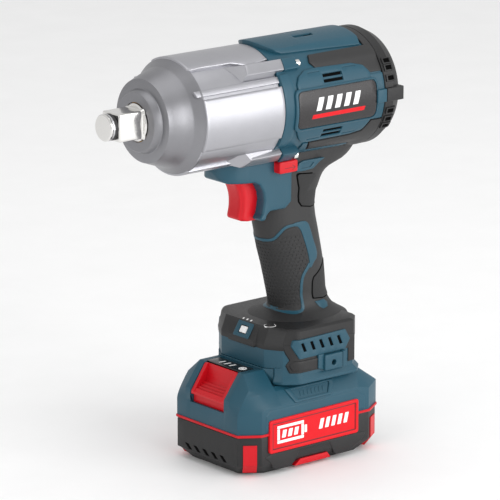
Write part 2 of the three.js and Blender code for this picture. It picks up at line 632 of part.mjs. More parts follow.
function anvil() {
  const half = SQUARE / 2;
  const square = alongX([[-half, AXIS_Z - half], [half, AXIS_Z - half], [half, AXIS_Z + half],
    [-half, AXIS_Z + half]], -111, -88, 1.6);
  const tip = turned([[NOSE_X, 0], [NOSE_X, 8.4], [NOSE_X + 0.9, 9.3], [-115.7, 9.3], [-115.7, 7.8],
    [-110.6, 7.8], [-110.6, 0]], 20);
  const shaft = turned([[-90.6, 0], [-90.6, 12.9], [LUG_FRONT_X - 1, 12.9], [LUG_FRONT_X - 1, 14.4],
    [LUG_REAR_X, 14.4], [LUG_REAR_X, 0]]);
  const lugs = [0, 180].map((turn) => sector(LUG_FRONT_X, LUG_REAR_X, 13, 28, turn - 20, turn + 20));
  const pilot = cylinderX(LUG_FRONT_X, LUG_REAR_X + 1, 6);
  return cut(join(square, tip, shaft, ...lugs), pilot);
}
add("anvil", anvil(), steel);
add("o_ring", ringX(-113.9, -111.3, 8.1, 9.1, 20), black);
add("friction_ring", ringX(-115.5, -114.1, 8.1, 9.2, 20), steel);

// ---------------------------------------------------------------- trigger group
function trigger() {
  const side = [[-11.5, 200.6], [-8.4, 197], [-6.3, 192], [-5.6, 186], [-6, 180.3], [-7.2, 176],
    [-6.2, 173.6], [-0.3, 171.6], [6, 173.4], [22, 173.4], [22, 200.4]];
  return cut(alongY(side, -9, 9), cylinderX(9, 23, 4.4, 0, 187));
}
add("trigger", trigger(), red);
const triggerSpring = coilSpring(20.8, 3.4, 0.5, 4).rotateY(Math.PI / 2);
add("trigger_spring", solid(triggerSpring.translate(9.3, 0, 187)), steel);
add("switch_body", alongY([[30.4, 174], [43.6, 174], [43.6, 203], [30.4, 203]], -10.6, 10.6, 1.5), black);
const SLIDER = [[17, 205.7], [31.2, 205.7], [31.2, 213.9], [17, 213.9]];
add("direction_button", alongY(SLIDER, -24, 24, 1.6), red);

// ---------------------------------------------------------------- foot electronics
add("lamp_lens", alongY(LAMP, -3.4, 3.4), lens);
add("mode_button", cylinderZ(92.2, 99.6, 3, 9.5, -20.4), black);
add("motor_controller", block(20, 62, -28, 28, 76, 86), darkSteel);

function terminalBlock() {
  const body = block(36, 60, -15, 15, 70.9, 74.6);
  const blades = TERMINALS_Y.map((y) => block(38, 58, y - 0.5, y + 0.5, 66.4, 71));
  return join(body, ...blades);
}
add("terminal_block", terminalBlock(), black);

// ---------------------------------------------------------------- battery
const BATTERY_PLAN = [[BATTERY_FRONT_X, 33], [BATTERY_FRONT_X, -33], [-16, -BATTERY_Y], [81, -BATTERY_Y],
  [BATTERY_REAR_X, -33], [BATTERY_REAR_X, 33], [81, BATTERY_Y], [-16, BATTERY_Y]];
const WALL = 3;
const LATCH_Y = 18;
const GAUGE = { x0: -14.6, x1: -3, y: 19 };
const GAUGE_BUTTON = [-8.8, -13];
const LABEL = { x0: -8.8, x1: 70.3, z0: 15.6, z1: 40.8 };
const CELLS_X = 33;
const CELL_R = 10.5; // 21700 cells in sleeves
const CELL_LENGTH = 70.5;

function batterySlab(z0, z1, wall = 0) {
  return alongZ(grown(BATTERY_PLAN, -wall), z0, z1, 3);
}

function lowerCase() {
  const tray = cut(batterySlab(0, SEAM_Z - 0.9), batterySlab(WALL, SEAM_Z, WALL));
  const bevels = both(alongX([[BATTERY_Y - 7, -1], [BATTERY_Y + 1, -1], [BATTERY_Y + 1, 8]], -60, 120));
  const ends = [[[-31, -1], [-31, 9], [-23, -1]], [[97, -1], [97, 9], [89, -1]]].map((side) =>
    alongY(side, -50, 50));
  const notches = both(block(17.6, 46, BATTERY_Y - 3.6, BATTERY_Y + 1, -1, 5.6));
  const walls = both(block(14, 50, BATTERY_Y - 6.4, BATTERY_Y - 2, 0, 9));
  const vents = [-21, -7, 7, 21].map((y) => block(-31, -25, y - 2, y + 2, 8.5, 12));
  return cut(join(tray, walls), bevels, ...ends, notches, ...vents);
}

// Stations up the upper case: height, front, rear and half width.
const SHOULDERS = [
  { z: SEAM_Z + 0.9, front: -30, rear: 96, y: 42.8 },
  { z: 44, front: -30, rear: 96, y: 42.8 },
  { z: 52, front: -26, rear: 89, y: 38.5 },
  { z: 58.6, front: -22, rear: 80, y: 34 },
];

function shoulderSkin(wall) {
  const rings = SHOULDERS.map(({ z, front, rear, y }) => {
    const plan = [[front, 0.77 * y], [front, -0.77 * y], [front + 14, -y], [rear - 15, -y],
      [rear, -0.77 * y], [rear, 0.77 * y], [rear - 15, y], [front + 14, y]];
    return grown(plan, -wall).map(([u, v]) => [u, v, z - (z > 50 ? wall : 0)]);
  });
  return loft(rings);
}

function upperCase() {
  const nose = alongY([[-29, 44], [-29, 50], [-16, 69.6], [-2.6, 69.6], [-2.6, 44]], -21, 21, 1);
  const rail = join(block(-2.8, 69, -24, 24, 56, 70), block(-2.8, 69, -28.4, 28.4, 65.2, 70));
  const railHollow = block(1, 66, -21, 21, 50, 64);
  const hollow = shoulderSkin(WALL);
  const mouth = batterySlab(SEAM_Z, SEAM_Z + 4, WALL);
  const springSeat = join(block(-22, -14.7, -20.6, 20.6, 47, 47.8),
    both(block(-22, -14.7, 18.6, 20.6, 47, 60)));
  const latchWell = alongY([[-31, 44.2], [-31, 52], [-17.9, 71], [-14.8, 71], [-14.8, 47.8], [-24.2, 47.8],
    [-24.2, 33.5], [-27.7, 33.5], [-27.7, 44.2]], -LATCH_Y - GAP, LATCH_Y + GAP);
  const gaugeWell = block(GAUGE.x0 - GAP, GAUGE.x1 + GAP, -GAUGE.y - GAP, GAUGE.y + GAP, 68, 71);
  const buttonWell = cylinderZ(62.8, 70, 3.4, GAUGE_BUTTON[0], GAUGE_BUTTON[1], 12);
  const contacts = TERMINALS_Y.map((y) => block(34, 70, y - 1, y + 1, 63, 71));
  const shell = join(cut(join(shoulderSkin(0), nose), hollow, mouth), springSeat);
  return cut(join(shell, rail), railHollow, latchWell, gaugeWell, buttonWell, ...contacts);
}
add("battery_lower_case", lowerCase(), black);
add("battery_upper_case", upperCase(), teal);

function gasket() {
  const band = cut(alongZ(grown(BATTERY_PLAN, 0.6), SEAM_Z - 0.6, SEAM_Z + 0.6, 3),
    batterySlab(SEAM_Z - 1, SEAM_Z + 1, WALL));
  return cut(band, both(block(LABEL.x0 - GAP, LABEL.x1 + GAP, BATTERY_Y, 46, 20, 40)));
}
add("battery_gasket", gasket(), red);

// The release latch: a scooped red thumb piece with a skirt behind the case's front wall.
function latch() {
  const body = alongY([[-27.4, 38], [-27.4, 48.4], [-29.6, 48.8], [-29.6, 51.4], [-17.6, 69.2],
    [-15.1, 69.2], [-15.1, 52.3], [-24.6, 52.3], [-24.6, 38]], -LATCH_Y, LATCH_Y);
  const scoop = alongY([[-31, 56.5], [-27.4, 54.2], [-18.4, 55.6], [-17.6, 67.4], [-19, 70], [-31, 70]],
    -15.2, 15.2);
  return cut(body, scoop);
}
add("battery_latch", latch(), red);
add("latch_spring", solid(coilSpring(4.1, 4, 0.4, 3).translate(-19, 0, 47.95)), steel);

const gaugePanel = block(GAUGE.x0, GAUGE.x1, -GAUGE.y, GAUGE.y, 68.3, 69.9);
add("gauge_panel", cut(gaugePanel, cylinderZ(68, 71, 3.4, ...GAUGE_BUTTON, 16)), black);
add("gauge_button", cylinderZ(65, 70.3, 3, ...GAUGE_BUTTON, 16), lens);

function label() {
  const corners = [[LABEL.x0, LABEL.z0], [LABEL.x1, LABEL.z0], [LABEL.x1, LABEL.z1], [LABEL.x0, LABEL.z1]];
  return alongY(corners, -BATTERY_Y - 1.2, -BATTERY_Y - GAP, 2.5);
}
add("battery_label_left", label(), red);
add("battery_label_right", mirrored(label()), red);

// Ten cells welded into one pack in two end frames.
function cellPack() {
  const pitch = 2 * CELL_R + 0.4;
  const cells = [];
  for (let column = 0; column < 5; column++) {
    for (let row = 0; row < 2; row++) {
      const x = CELLS_X + (column - 2) * pitch;
      const z = 14.6 + row * pitch;
      cells.push(cylinderY(-CELL_LENGTH / 2, CELL_LENGTH / 2, CELL_R, x, z, 8));
    }
  }
  const frames = both(block(CELLS_X - 52, CELLS_X + 52, CELL_LENGTH / 2 - 2, CELL_LENGTH / 2, 5, 44.4));
  const strap = block(CELLS_X - 4, CELLS_X + 4, -CELL_LENGTH / 2, CELL_LENGTH / 2, 24.8, 25.8);
  return join(frames, strap, ...cells);
}
add("cell_pack", cellPack(), castMetal);

function batteryBoard() {
  const board = block(2, 76, -20, 20, 48, 49.6);
  const clips = TERMINALS_Y.map((y) => block(38, 58, y - 2.3, y - 1.2, 49, 62));
  return join(board, ...clips);
}
add("battery_board", batteryBoard(), teal);

export default tool;
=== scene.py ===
"""Looks of the cordless impact wrench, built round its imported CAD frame.

Outlines are in millimetres in the frame's own axes: the nose points along -X, +Z is up, -Y is
the left side. Round housings use (x, degrees from the top towards -Y) and the handle uses
(degrees from its front towards -Y, z).
"""
import math

import bmesh
import bpy
import numpy as np
from mathutils import Matrix, Vector
from mathutils.geometry import delaunay_2d_cdt


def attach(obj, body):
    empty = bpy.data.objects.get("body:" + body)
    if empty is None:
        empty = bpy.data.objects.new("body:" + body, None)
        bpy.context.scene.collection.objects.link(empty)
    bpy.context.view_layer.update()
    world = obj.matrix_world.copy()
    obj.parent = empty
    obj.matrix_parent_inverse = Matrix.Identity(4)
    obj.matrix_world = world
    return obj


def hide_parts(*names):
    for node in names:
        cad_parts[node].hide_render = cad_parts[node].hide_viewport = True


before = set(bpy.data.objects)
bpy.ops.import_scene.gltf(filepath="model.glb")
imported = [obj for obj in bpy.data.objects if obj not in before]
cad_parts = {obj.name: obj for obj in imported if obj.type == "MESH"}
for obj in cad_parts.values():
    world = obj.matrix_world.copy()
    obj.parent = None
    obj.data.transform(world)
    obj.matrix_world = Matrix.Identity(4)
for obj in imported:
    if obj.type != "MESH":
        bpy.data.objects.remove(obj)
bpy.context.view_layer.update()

MM = 0.001
AXIS_Z = 253.0
ARC = 0.7156  # millimetres per degree on a barrel of radius 41
HANDLE_ARC = 0.36  # millimetres per degree round the handle
SQUARE = 19.05  # across the flats of the drive
SHELL = 38.5  # radius at which the plates on the motor housing start, inside its skin
CASE = 37.6  # the same for the hammer case
CORNER_STEPS = 4  # segments of a rounded corner, doubled where its radius is 4 or more
SHARPEST = 0.03  # smallest radius that an inset leaves of a corner
WELD = 3e-6  # metres within which points of one piece are joined
CREASE = 32  # edges sharper than this many degrees stay crisp
BEVEL_FROM = 16  # edges sharper than this many degrees are bevelled, where a piece asks for it


# ---------------------------------------------------------------- outlines
def signed_area(points):
    p = np.array([q[:2] for q in points], float)
    q = np.roll(p, -1, 0)
    return 0.5 * float((p[:, 0] * q[:, 1] - q[:, 0] * p[:, 1]).sum())


def inset(points, distance):
    """The corners of a counter-clockwise outline moved in by a distance, mitred."""
    p = np.array([q[:2] for q in points], float)
    ahead = np.roll(p, -1, 0) - p
    ahead /= np.linalg.norm(ahead, axis=1)[:, None]
    behind = np.roll(ahead, 1, 0)
    inward = np.stack([-behind[:, 1] - ahead[:, 1], behind[:, 0] + ahead[:, 0]], 1)
    scale = 1 + (behind * ahead).sum(1)
    return p + distance * inward / np.maximum(scale, 0.3)[:, None]


class Outline:
    """A closed outline with rounded corners, which can be redrawn inset with the same points."""

    def __init__(self, points, radius=1.0, step=4.0):
        self.points = list(points) if signed_area(points) > 0 else list(points)[::-1]
        self.radii = [q[2] if len(q) > 2 else radius for q in self.points]
        arcs = self.arcs(0)
        gaps = [np.linalg.norm(after[0] - arc[-1]) for arc, after in zip(arcs, arcs[1:] + arcs[:1])]
        self.counts = [max(1, int(math.ceil(gap / step))) for gap in gaps]

    def arcs(self, distance):
        corners = inset(self.points, distance)
        made = []
        for i, corner in enumerate(corners):
            before = corners[i - 1] - corner
            after = corners[(i + 1) % len(corners)] - corner
            long_before, long_after = np.linalg.norm(before), np.linalg.norm(after)
            cosine = float(before @ after) / (long_before * long_after)
            half = 0.5 * math.acos(max(-1.0, min(1.0, cosine)))
            convex = before[0] * after[1] - before[1] * after[0] < 0
            if self.radii[i] == 0:
                made.append(np.array([corner]))
                continue
            reach = max(self.radii[i] - distance, SHARPEST) if convex else self.radii[i] + distance
            back = min(reach / max(math.tan(half), 1e-3), 0.48 * long_before, 0.48 * long_after)
            start = corner + before / long_before * back
            end = corner + after / long_after * back
            t = np.linspace(0, 1, CORNER_STEPS * (1 if self.radii[i] < 4 else 2) + 1)[:, None]
            made.append((1 - t) ** 2 * start + 2 * t * (1 - t) * corner + t ** 2 * end)
        return made

    def at(self, distance=0.0):
        arcs = self.arcs(distance)
        ring = []
        for i, arc in enumerate(arcs):
            ring.extend(arc)
            following = arcs[(i + 1) % len(arcs)][0]
            for k in range(1, self.counts[i]):
                ring.append(arc[-1] + (following - arc[-1]) * k / self.counts[i])
        return np.array(ring)


def within(points, loop):
    """Which of the points lie inside the closed loop."""
    a, b = loop, np.roll(loop, -1, 0)
    x, y = points[:, 0][:, None], points[:, 1][:, None]
    crosses = (a[:, 1] > y) != (b[:, 1] > y)
    rise = np.where(np.abs(b[:, 1] - a[:, 1]) < 1e-12, 1e-12, b[:, 1] - a[:, 1])
    left = x < (b[:, 0] - a[:, 0]) * (y - a[:, 1]) / rise + a[:, 0]
    return (crosses & left).sum(1) % 2 == 1


def rect(u0, v0, u1, v1):
    return [(u0, v0), (u1, v0), (u1, v1), (u0, v1)]


def polygon(u, v, radius, turn):
    """A regular outline with a corner every so many degrees."""
    return [(u + radius * math.cos(t), v + radius * math.sin(t)) for t in np.radians(np.arange(0, 360, turn))]


def mirrored(points):
    """One side of an outline followed by its mirror image, for shapes even about v = 0."""
    return [*points, *((u, -v, *r) for u, v, *r in points[::-1])]


# ---------------------------------------------------------------- surfaces that outlines lie on
def barrel(u, v, h):
    angle = np.radians(v / ARC)
    return np.stack([u, -h * np.sin(angle), AXIS_Z + h * np.cos(angle)], 1)


def side(u, v, h):
    return np.stack([u, -h, v], 1)


def front(u, v, h):
    return np.stack([-h, u, v], 1)


def plan(u, v, h):
    return np.stack([u, v, h], 1)


# Height, centre along X, half depth and half width of the handle.
HANDLE = np.array([(92, 47, 42, 37), (98, 47, 39, 34), (99.3, 49, 33.4, 29.5), (100.6, 51, 28.4, 25),
                   (102.4, 52.8, 24.8, 21.4), (104.4, 53, 23, 19.2), (108, 51.6, 22.6, 17.4),
                   (114, 49.8, 22.4, 16.4), (125, 48, 23.2, 16.7), (136, 46, 24, 17), (147, 43.2, 24.5, 17.2),
                   (158, 40.7, 24.6, 17.2), (168, 38.4, 24.6, 17.1), (178, 37, 24.8, 17),
                   (186, 37.6, 25.4, 17.2), (194, 39.5, 26.5, 17.6), (203, 42.6, 27.4, 17.6),
                   (212, 45, 28, 17.8), (220, 46, 29, 18)], float)
SQUARENESS = 2.12  # a little squarer than an ellipse


def handle(u, v, h):
    angle = np.radians(u / HANDLE_ARC)
    centre, depth, width = (np.interp(v, HANDLE[:, 0], HANDLE[:, i]) for i in (1, 2, 3))
    power = 2 / SQUARENESS
    along = np.sign(np.cos(angle)) * np.abs(np.cos(angle)) ** power
    across = np.sign(np.sin(angle)) * np.abs(np.sin(angle)) ** power
    return np.stack([centre - (depth + h) * along, -(width + h) * across, v], 1)


def on_barrel(*points):
    return [(p[0], p[1] * ARC) + tuple(p[2:]) for p in points]


def on_handle(*points):
    return [(p[0] * HANDLE_ARC, p[1]) + tuple(p[2:]) for p in points]


def across(flat, y):
    """Points (x, z) of a side view, all at one width."""
    flat = np.asarray(flat, float)
    return np.column_stack([flat[:, 0], np.full(len(flat), float(y)), flat[:, 1]])


def level(flat, z):
    """Points (x, y) of a plan, all at one height."""
    return np.column_stack([flat, np.full(len(flat), float(z))])


def constant(value):
    return lambda u, v: np.full(len(u), float(value))


# ---------------------------------------------------------------- solids
class Solid:
    """Points and faces in millimetres; several closed shells may share one piece."""

    def __init__(self):
        self.points, self.faces = [], []

    def add(self, points, faces):
        start = len(self.points)
        self.points.extend(map(tuple, np.asarray(points, float)))
        self.faces.extend(tuple(start + i for i in face) for face in faces)
        return self

    def include(self, other):
        return self.add(other.points, other.faces)

    def both(self):
        """The same again on the other side of the tool."""
        return self.add([(x, -y, z) for x, y, z in self.points], [face[::-1] for face in self.faces])

    def bridge(self, rings):
        """Quads between successive closed rings of equally many points."""
        n = len(rings[0])
        starts = range(0, n * (len(rings) - 1), n)
        pairs = [(i, (i + 1) % n) for i in range(n)]
        faces = [(k + i, k + j, k + n + j, k + n + i) for k in starts for i, j in pairs]
        return self.add(np.vstack(rings), faces)

    def loft(self, rings):
        """Closed rings joined in order, with both ends filled."""
        self.bridge(rings)
        for ring in (rings[0], rings[-1]):
            self.add(ring, [tuple(range(len(ring)))])
        return self

    def slices(self, outline, places, radius, step):
        """A side view lofted across the width, through each (y, inset)."""
        view = Outline(outline, radius, step)
        return self.loft([across(view.at(distance), y) for y, distance in places])

    def cap(self, outer, inners, surface, height, step=None, lines=()):
        """Triangles over a flat outline with openings, mapped on to a surface."""
        points, edges, regions, start = [], [], [], 0
        for loop in (outer, *inners):
            ring = list(range(start, start + len(loop)))
            regions.append(ring if signed_area(loop) > 0 else ring[::-1])
            points.append(loop)
            start += len(loop)
        for line in lines:
            edges += [(start + i, start + i + 1) for i in range(len(line) - 1)]
            points.append(np.array(line, float))
            start += len(line)
        if step:
            u, v = (np.arange(low + step / 2, high, step) for low, high in zip(outer.min(0), outer.max(0)))
            grid = np.array([(a, b) for a in u for b in v]).reshape(-1, 2)
            inside = within(grid, outer)
            for inner in inners:
                inside &= ~within(grid, inner)
            grid = grid[inside]
            rim = np.vstack(points)
            if len(grid):
                apart = np.sqrt(((grid[:, None, :] - rim[None]) ** 2).sum(2)).min(1)
                points.append(grid[apart > 0.45 * step])
        made = delaunay_2d_cdt([Vector(p) for p in np.vstack(points)], edges, regions, 0, 1e-6)
        spots = np.array([tuple(v) for v in made[0]])
        faces = [tuple(face) for face, sources in zip(made[2], made[5]) if set(sources) == {0}]
        return self.add(surface(spots[:, 0], spots[:, 1], height(spots[:, 0], spots[:, 1])), faces)

    def panel(self, points, surface, top, bottom, radius=1.0, bevel=0.5, step=4.0, rings=3, pockets=(),
              lines=()):
        """A closed plate with a rounded or chamfered rim, which may have pockets sunk in it."""
        rim = Outline(points, radius, step)
        inward, down = bevel if isinstance(bevel, tuple) else (bevel, bevel)
        high, low = (level if callable(level) else constant(level) for level in (top, bottom))
        fill = step if callable(top) or surface in (barrel, handle) else None
        flat = rim.at(0)
        shells = [surface(flat[:, 0], flat[:, 1], low(flat[:, 0], flat[:, 1]))]
        for turn in np.radians(np.linspace(0, 90, rings + 1)):
            ring = rim.at(inward * (1 - math.cos(turn)))
            shells.append(surface(ring[:, 0], ring[:, 1],
                                  high(ring[:, 0], ring[:, 1]) - down * (1 - math.sin(turn))))
        self.bridge(shells)
        mouths = [self.pocket(surface, high, fill, **pocket) for pocket in pockets]
        self.cap(rim.at(inward), mouths, surface, high, fill, lines)
        return self.cap(flat, [], surface, low, fill)

    def pocket(self, surface, high, step, points, depth, radius=0.5, bevel=0.2, taper=0.0):
        """Walls and floor of a pocket; returns the outline of its mouth."""
        hole = Outline(points, radius, 3.0)
        shells = []
        for distance, drop in ((-bevel, 0.0), (-0.3 * bevel, 0.3 * bevel), (0.0, bevel), (taper, depth)):
            ring = hole.at(distance)
            shells.append(surface(ring[:, 0], ring[:, 1], high(ring[:, 0], ring[:, 1]) - drop))
        self.bridge(shells)
        self.cap(hole.at(taper), [], surface, lambda u, v: high(u, v) - depth, step)
        return hole.at(-bevel)

    def drum(self, points, top, bottom, step=2.5, **rest):
        """A panel on the round housings, with its corners as (x, degrees from the top)."""
        return self.panel(on_barrel(*points), barrel, top, bottom, step=step, **rest)

    def plates(self, outlines, surface, top, bottom, **rest):
        for outline in outlines:
            self.panel(outline, surface, top, bottom, **rest)
        return self

    def tower(self, levels, radius=2.0, step=6.0):
        """Outlines with as many corners each, stacked at their heights: [(points, z), ...]."""
        counts = Outline(levels[0][0], radius, step).counts
        shells = []
        for points, z in levels:
            ring = Outline(points, radius, step)
            ring.counts = counts
            shells.append(level(ring.at(0), z))
        self.bridge(shells)
        for shell in (shells[0], shells[-1]):
            self.cap(shell[:, :2], [], plan, constant(shell[0, 2]))
        return self

    def lathe(self, profile, segments=96):
        """A closed profile of (x, r) turned about the drive axis."""
        x, r = np.array(profile, float).T
        turn = np.radians(np.linspace(0, 360, segments, endpoint=False))
        rings = [np.stack([x, -r * math.sin(a), AXIS_Z + r * math.cos(a)], 1) for a in turn]
        return self.bridge(rings + rings[:1])


def strip(path, width):
    """The outline of a band of the given width along a path."""
    p = np.array(path, float)
    ahead = np.gradient(p, axis=0)
    ahead /= np.linalg.norm(ahead, axis=1)[:, None]
    normal = np.stack([-ahead[:, 1], ahead[:, 0]], 1) * width / 2
    return [tuple(q) for q in np.vstack([p + normal, (p - normal)[::-1]])]


# ---------------------------------------------------------------- materials
def surface_material(name, color, rough, metallic=0.0, variation=0.06, grain=1400.0, bump=0.06, coat=0.0,
                     specular=0.5, stretch=(1, 1, 1)):
    """A procedural finish: slow colour drift, fine grain in the bump and a roughness that wanders."""
    material = bpy.data.materials.new(name)
    material.use_nodes = True
    tree = material.node_tree
    tree.nodes.clear()

    def node(kind, **values):
        made = tree.nodes.new("ShaderNode" + kind)
        for socket, value in values.items():
            made.inputs[socket.replace("_", " ")].default_value = value
        return made

    def join(source, output, target, entry):
        tree.links.new(source.outputs[output], target.inputs[entry])

    shader = node("BsdfPrincipled", Metallic=metallic, Coat_Weight=coat, Coat_Roughness=0.25,
                  Specular_IOR_Level=specular)
    join(shader, "BSDF", node("OutputMaterial"), "Surface")
    place = node("Mapping", Scale=stretch)
    join(node("TexCoord"), "Object", place, "Vector")
    drift = node("TexNoise", Scale=18.0, Detail=4.0, Roughness=0.6)
    fine = node("TexNoise", Scale=grain, Detail=3.0, Roughness=0.55)
    for noise in (drift, fine):
        join(place, "Vector", noise, "Vector")
    ramp = node("ValToRGB")
    for stop, position, factor in zip(ramp.color_ramp.elements, (0.35, 0.65), (1 - variation, 1 + variation)):
        stop.position = position
        stop.color = (*(min(1.0, c * factor) for c in color), 1)
    join(drift, "Fac", ramp, "Fac")
    join(ramp, "Color", shader, "Base Color")
    relief = node("Bump", Strength=bump, Distance=0.0004)
    join(fine, "Fac", relief, "Height")
    join(relief, "Normal", shader, "Normal")
    spread = node("MapRange", From_Min=0.3, From_Max=0.7, To_Min=rough - 0.06, To_Max=rough + 0.06)
    join(fine, "Fac", spread, "Value")
    join(spread, "Result", shader, "Roughness")
    return material


TEAL = surface_material("teal_moulding", (0.0105, 0.064, 0.098), 0.42, variation=0.05, bump=0.10,
                        specular=0.4)
BLACK = surface_material("black_moulding", (0.0125, 0.0125, 0.013), 0.46, variation=0.07, bump=0.10,
                         specular=0.4)
RUBBER = surface_material("overmould_rubber", (0.021, 0.021, 0.0215), 0.55, variation=0.08, grain=2300.0,
                          bump=0.25, specular=0.4)
PAD_RUBBER = surface_material("palm_pad_rubber", (0.024, 0.024, 0.0245), 0.66, variation=0.10, grain=2900.0,
                              bump=0.5, specular=0.3)
GRIP_RUBBER = surface_material("dimpled_rubber", (0.020, 0.020, 0.0205), 0.62, variation=0.08, grain=2300.0,
                               bump=0.25, specular=0.35)
RED = surface_material("red_moulding", (0.54, 0.004, 0.011), 0.38, variation=0.04, bump=0.06, specular=0.3)
LABEL_RED = surface_material("label_red", (0.64, 0.004, 0.010), 0.36, variation=0.03, bump=0.03,
                             specular=0.25)
CAST = surface_material("blasted_casting", (0.40, 0.40, 0.425), 0.36, metallic=0.85, variation=0.05,
                        grain=1900.0, bump=0.16)
# Painted shade: the case's casting finish made darker for the nose, which faces away from the key light.
SHADED_CAST = surface_material("nose_casting_painted_shade", (0.25, 0.25, 0.265), 0.38, metallic=0.85, variation=0.05,
                             grain=1900.0, bump=0.16)
NICKEL = surface_material("nickel_steel", (0.78, 0.77, 0.75), 0.16, metallic=1.0, variation=0.03, grain=900.0,
                          bump=0.03, stretch=(0.1, 1, 1))
STEEL = surface_material("machined_steel", (0.55, 0.55, 0.56), 0.28, metallic=1.0, variation=0.06,
                         grain=1500.0, bump=0.08)
DARK_STEEL = surface_material("phosphated_steel", (0.12, 0.12, 0.125), 0.42, metallic=0.9, variation=0.12,
                              grain=1500.0, bump=0.12)
LAMINATE = surface_material("stacked_laminate", (0.30, 0.30, 0.31), 0.45, metallic=0.9, variation=0.10,
                            grain=1400.0, bump=0.3, stretch=(3, 0.05, 0.05))
BRONZE = surface_material("sintered_bronze", (0.45, 0.27, 0.10), 0.42, metallic=1.0, variation=0.12,
                          grain=1700.0, bump=0.2)
COPPER = surface_material("enamelled_copper", (0.60, 0.22, 0.08), 0.30, metallic=0.9, variation=0.12,
                          grain=700.0, bump=0.6, stretch=(1, 4, 4), coat=0.4)
SLEEVE = surface_material("cell_sleeve", (0.05, 0.22, 0.20), 0.35, variation=0.08, bump=0.04)
BOARD = surface_material("solder_mask", (0.012, 0.10, 0.045), 0.30, variation=0.15, grain=400.0, bump=0.2)
WHITE = surface_material("printed_white", (0.82, 0.82, 0.82), 0.40, variation=0.02, bump=0.03)
DISPLAY = surface_material("display_film", (0.006, 0.006, 0.007), 0.22, variation=0.10, bump=0.03)
# Near-black and matt: painted shade, laid as sheets on the floors of slots, vents, dimples and gaps where the
# real tool has only shade.
SHADOW = surface_material("painted_opening_shade", (0.002, 0.002, 0.002), 0.85, variation=0.10, bump=0.03,
                          specular=0.05)
BADGE = surface_material("badge_film", (0.014, 0.012, 0.013), 0.30, variation=0.10, bump=0.04)
# Dark red: painted shade, for the sunk arrow on the slider and the shaded inner edge of the label's rim.
GROOVE_SHADE = surface_material("arrow_shadow", (0.16, 0.006, 0.010), 0.5, variation=0.08, bump=0.05)


# ---------------------------------------------------------------- pieces
def piece(name, solid, material, body="tool", replaces=(), crease=CREASE, bevel=0.0):
    mesh = bpy.data.meshes.new(name)
    mesh.from_pydata([tuple(c * MM for c in p) for p in solid.points], [], solid.faces)
    work = bmesh.new()
    work.from_mesh(mesh)
    bmesh.ops.remove_doubles(work, verts=work.verts, dist=WELD)
    bmesh.ops.recalc_face_normals(work, faces=work.faces)
    if bevel:
        edges = [edge for edge in work.edges if edge.calc_face_angle(0.0) > math.radians(BEVEL_FROM)]
        bmesh.ops.bevel(work, geom=edges, offset=bevel * MM, offset_type="OFFSET", segments=2, profile=0.5,
                        affect="EDGES", clamp_overlap=True)
    work.to_mesh(mesh)
    work.free()
    mesh.polygons.foreach_set("use_smooth", [True] * len(mesh.polygons))
    mesh.set_sharp_from_angle(angle=math.radians(crease))
    mesh.materials.append(material)
    made = linked(name, mesh)
    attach(made, body)
    if replaces:
        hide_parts(*replaces)


def linked(name, data):
    """A new object in the scene that shows the data."""
    made = bpy.data.objects.new(name, data)
    bpy.context.scene.collection.objects.link(made)
    return made


# ---------------------------------------------------------------- hammer case
def hammer_case():
    return Solid().lathe([(-66.5, 30), (-66.5, 34.6), (-62.4, 37.9), (-60.4, 38.2), (-40, 38.2), (5.4, 38.2),
                          (5.4, 36.6), (-58, 36.6), (-66, 30)])


def case_nose():
    """Stepped nose of the hammer case, with the rim where it meets the barrel."""
    return Solid().lathe([(-90, 13.6), (-90, 19.9), (-89.5, 20.4), (-85.2, 22.0), (-84.8, 22.6),
                          (-84.6, 27.6), (-84.2, 28.6), (-81.2, 29.6), (-80.6, 29.9), (-74, 32.2),
                          (-68.2, 34.1), (-67.2, 34.7), (-62.6, 38.6), (-61.2, 39.6), (-60.2, 39.6),
                          (-59.4, 38.0), (-60, 36.6), (-66, 30), (-70, 13.6)])


def case_panels():
    body = Solid()
    # Broad roof between the upper pockets.
    body.drum(mirrored([(-62, 31, 3), (-50, 30, 4), (-25, 30.5, 3), (-13, 37, 1), (5.4, 33, 0)]), 40.5, CASE,
              bevel=(1.2, 1.0))
    half = Solid()
    half.drum([(-66.5, 54.5), (6.8, 53.6), (6.8, 60.8), (-65, 61.4)], 39.4, CASE, radius=0.6,
              bevel=(0.7, 0.6))
    half.drum([(-61.5, 64.6, 1), (6.3, 64.2, 0.5), (6.3, 117.5, 0.5), (-61.5, 117.5, 1)], 41, CASE,
              bevel=(1.0, 1.4))
    half.drum([(-62, 150, 2), (-20, 147, 1), (-18, 151, 1), (5.4, 151, 0), (5.4, 180, 0), (-62, 180, 0)],
              40.5, CASE, bevel=(1.0, 0.8))
    half.drum([(-62, 117.5), (6, 117.5), (6, 134.5), (-24, 134.5), (-62, 131)], 39.6, CASE, bevel=(0.8, 0.8))
    # Screw bosses, and their tapered footings that run out as pointed ramps in the pockets.
    half.drum([(-18, 38, 1), (13.5, 38, 0.4), (11.5, 49.8, 0.4), (-21, 49.8, 1)], 42.9, CASE,
              bevel=(0.5, 0.5))
    half.drum([(-15, 135.5, 1), (10.5, 133.8, 0.4), (14.5, 149.6, 0.4), (-18.5, 150, 1)], 44.2, CASE,
              bevel=(0.6, 0.6))
    for foot, crown, radius in ((((-32, 31.5), (-23.5, 53), (4, 53), (4, 31.5)),
                                 ((-18.5, 38.6), (-21.4, 49.4), (4, 49.4), (4, 38.6)), 42.6),
                                (((-31.5, 151.6), (-20, 132.6), (4, 132.6), (4, 151.6)),
                                 ((-18.8, 149.4), (-15.4, 136.2), (4, 136.2), (4, 149.4)), 43.9)):
        half.loft([facet_ring(foot, 38.2), facet_ring(crown, radius)])
    return body.include(half.both())


def facet_ring(corners, radius):
    """Corners given as (x, degrees) on a barrel of one radius."""
    u, v = np.array(on_barrel(*corners), float).T
    return barrel(u, v, radius)


piece("hammer_case_shell", hammer_case().include(case_panels()), CAST, replaces=("hammer_case",), crease=28)
# The nose takes the darker copy of the casting: painted shade.
piece("hammer_case_nose", case_nose(), SHADED_CAST, crease=28)


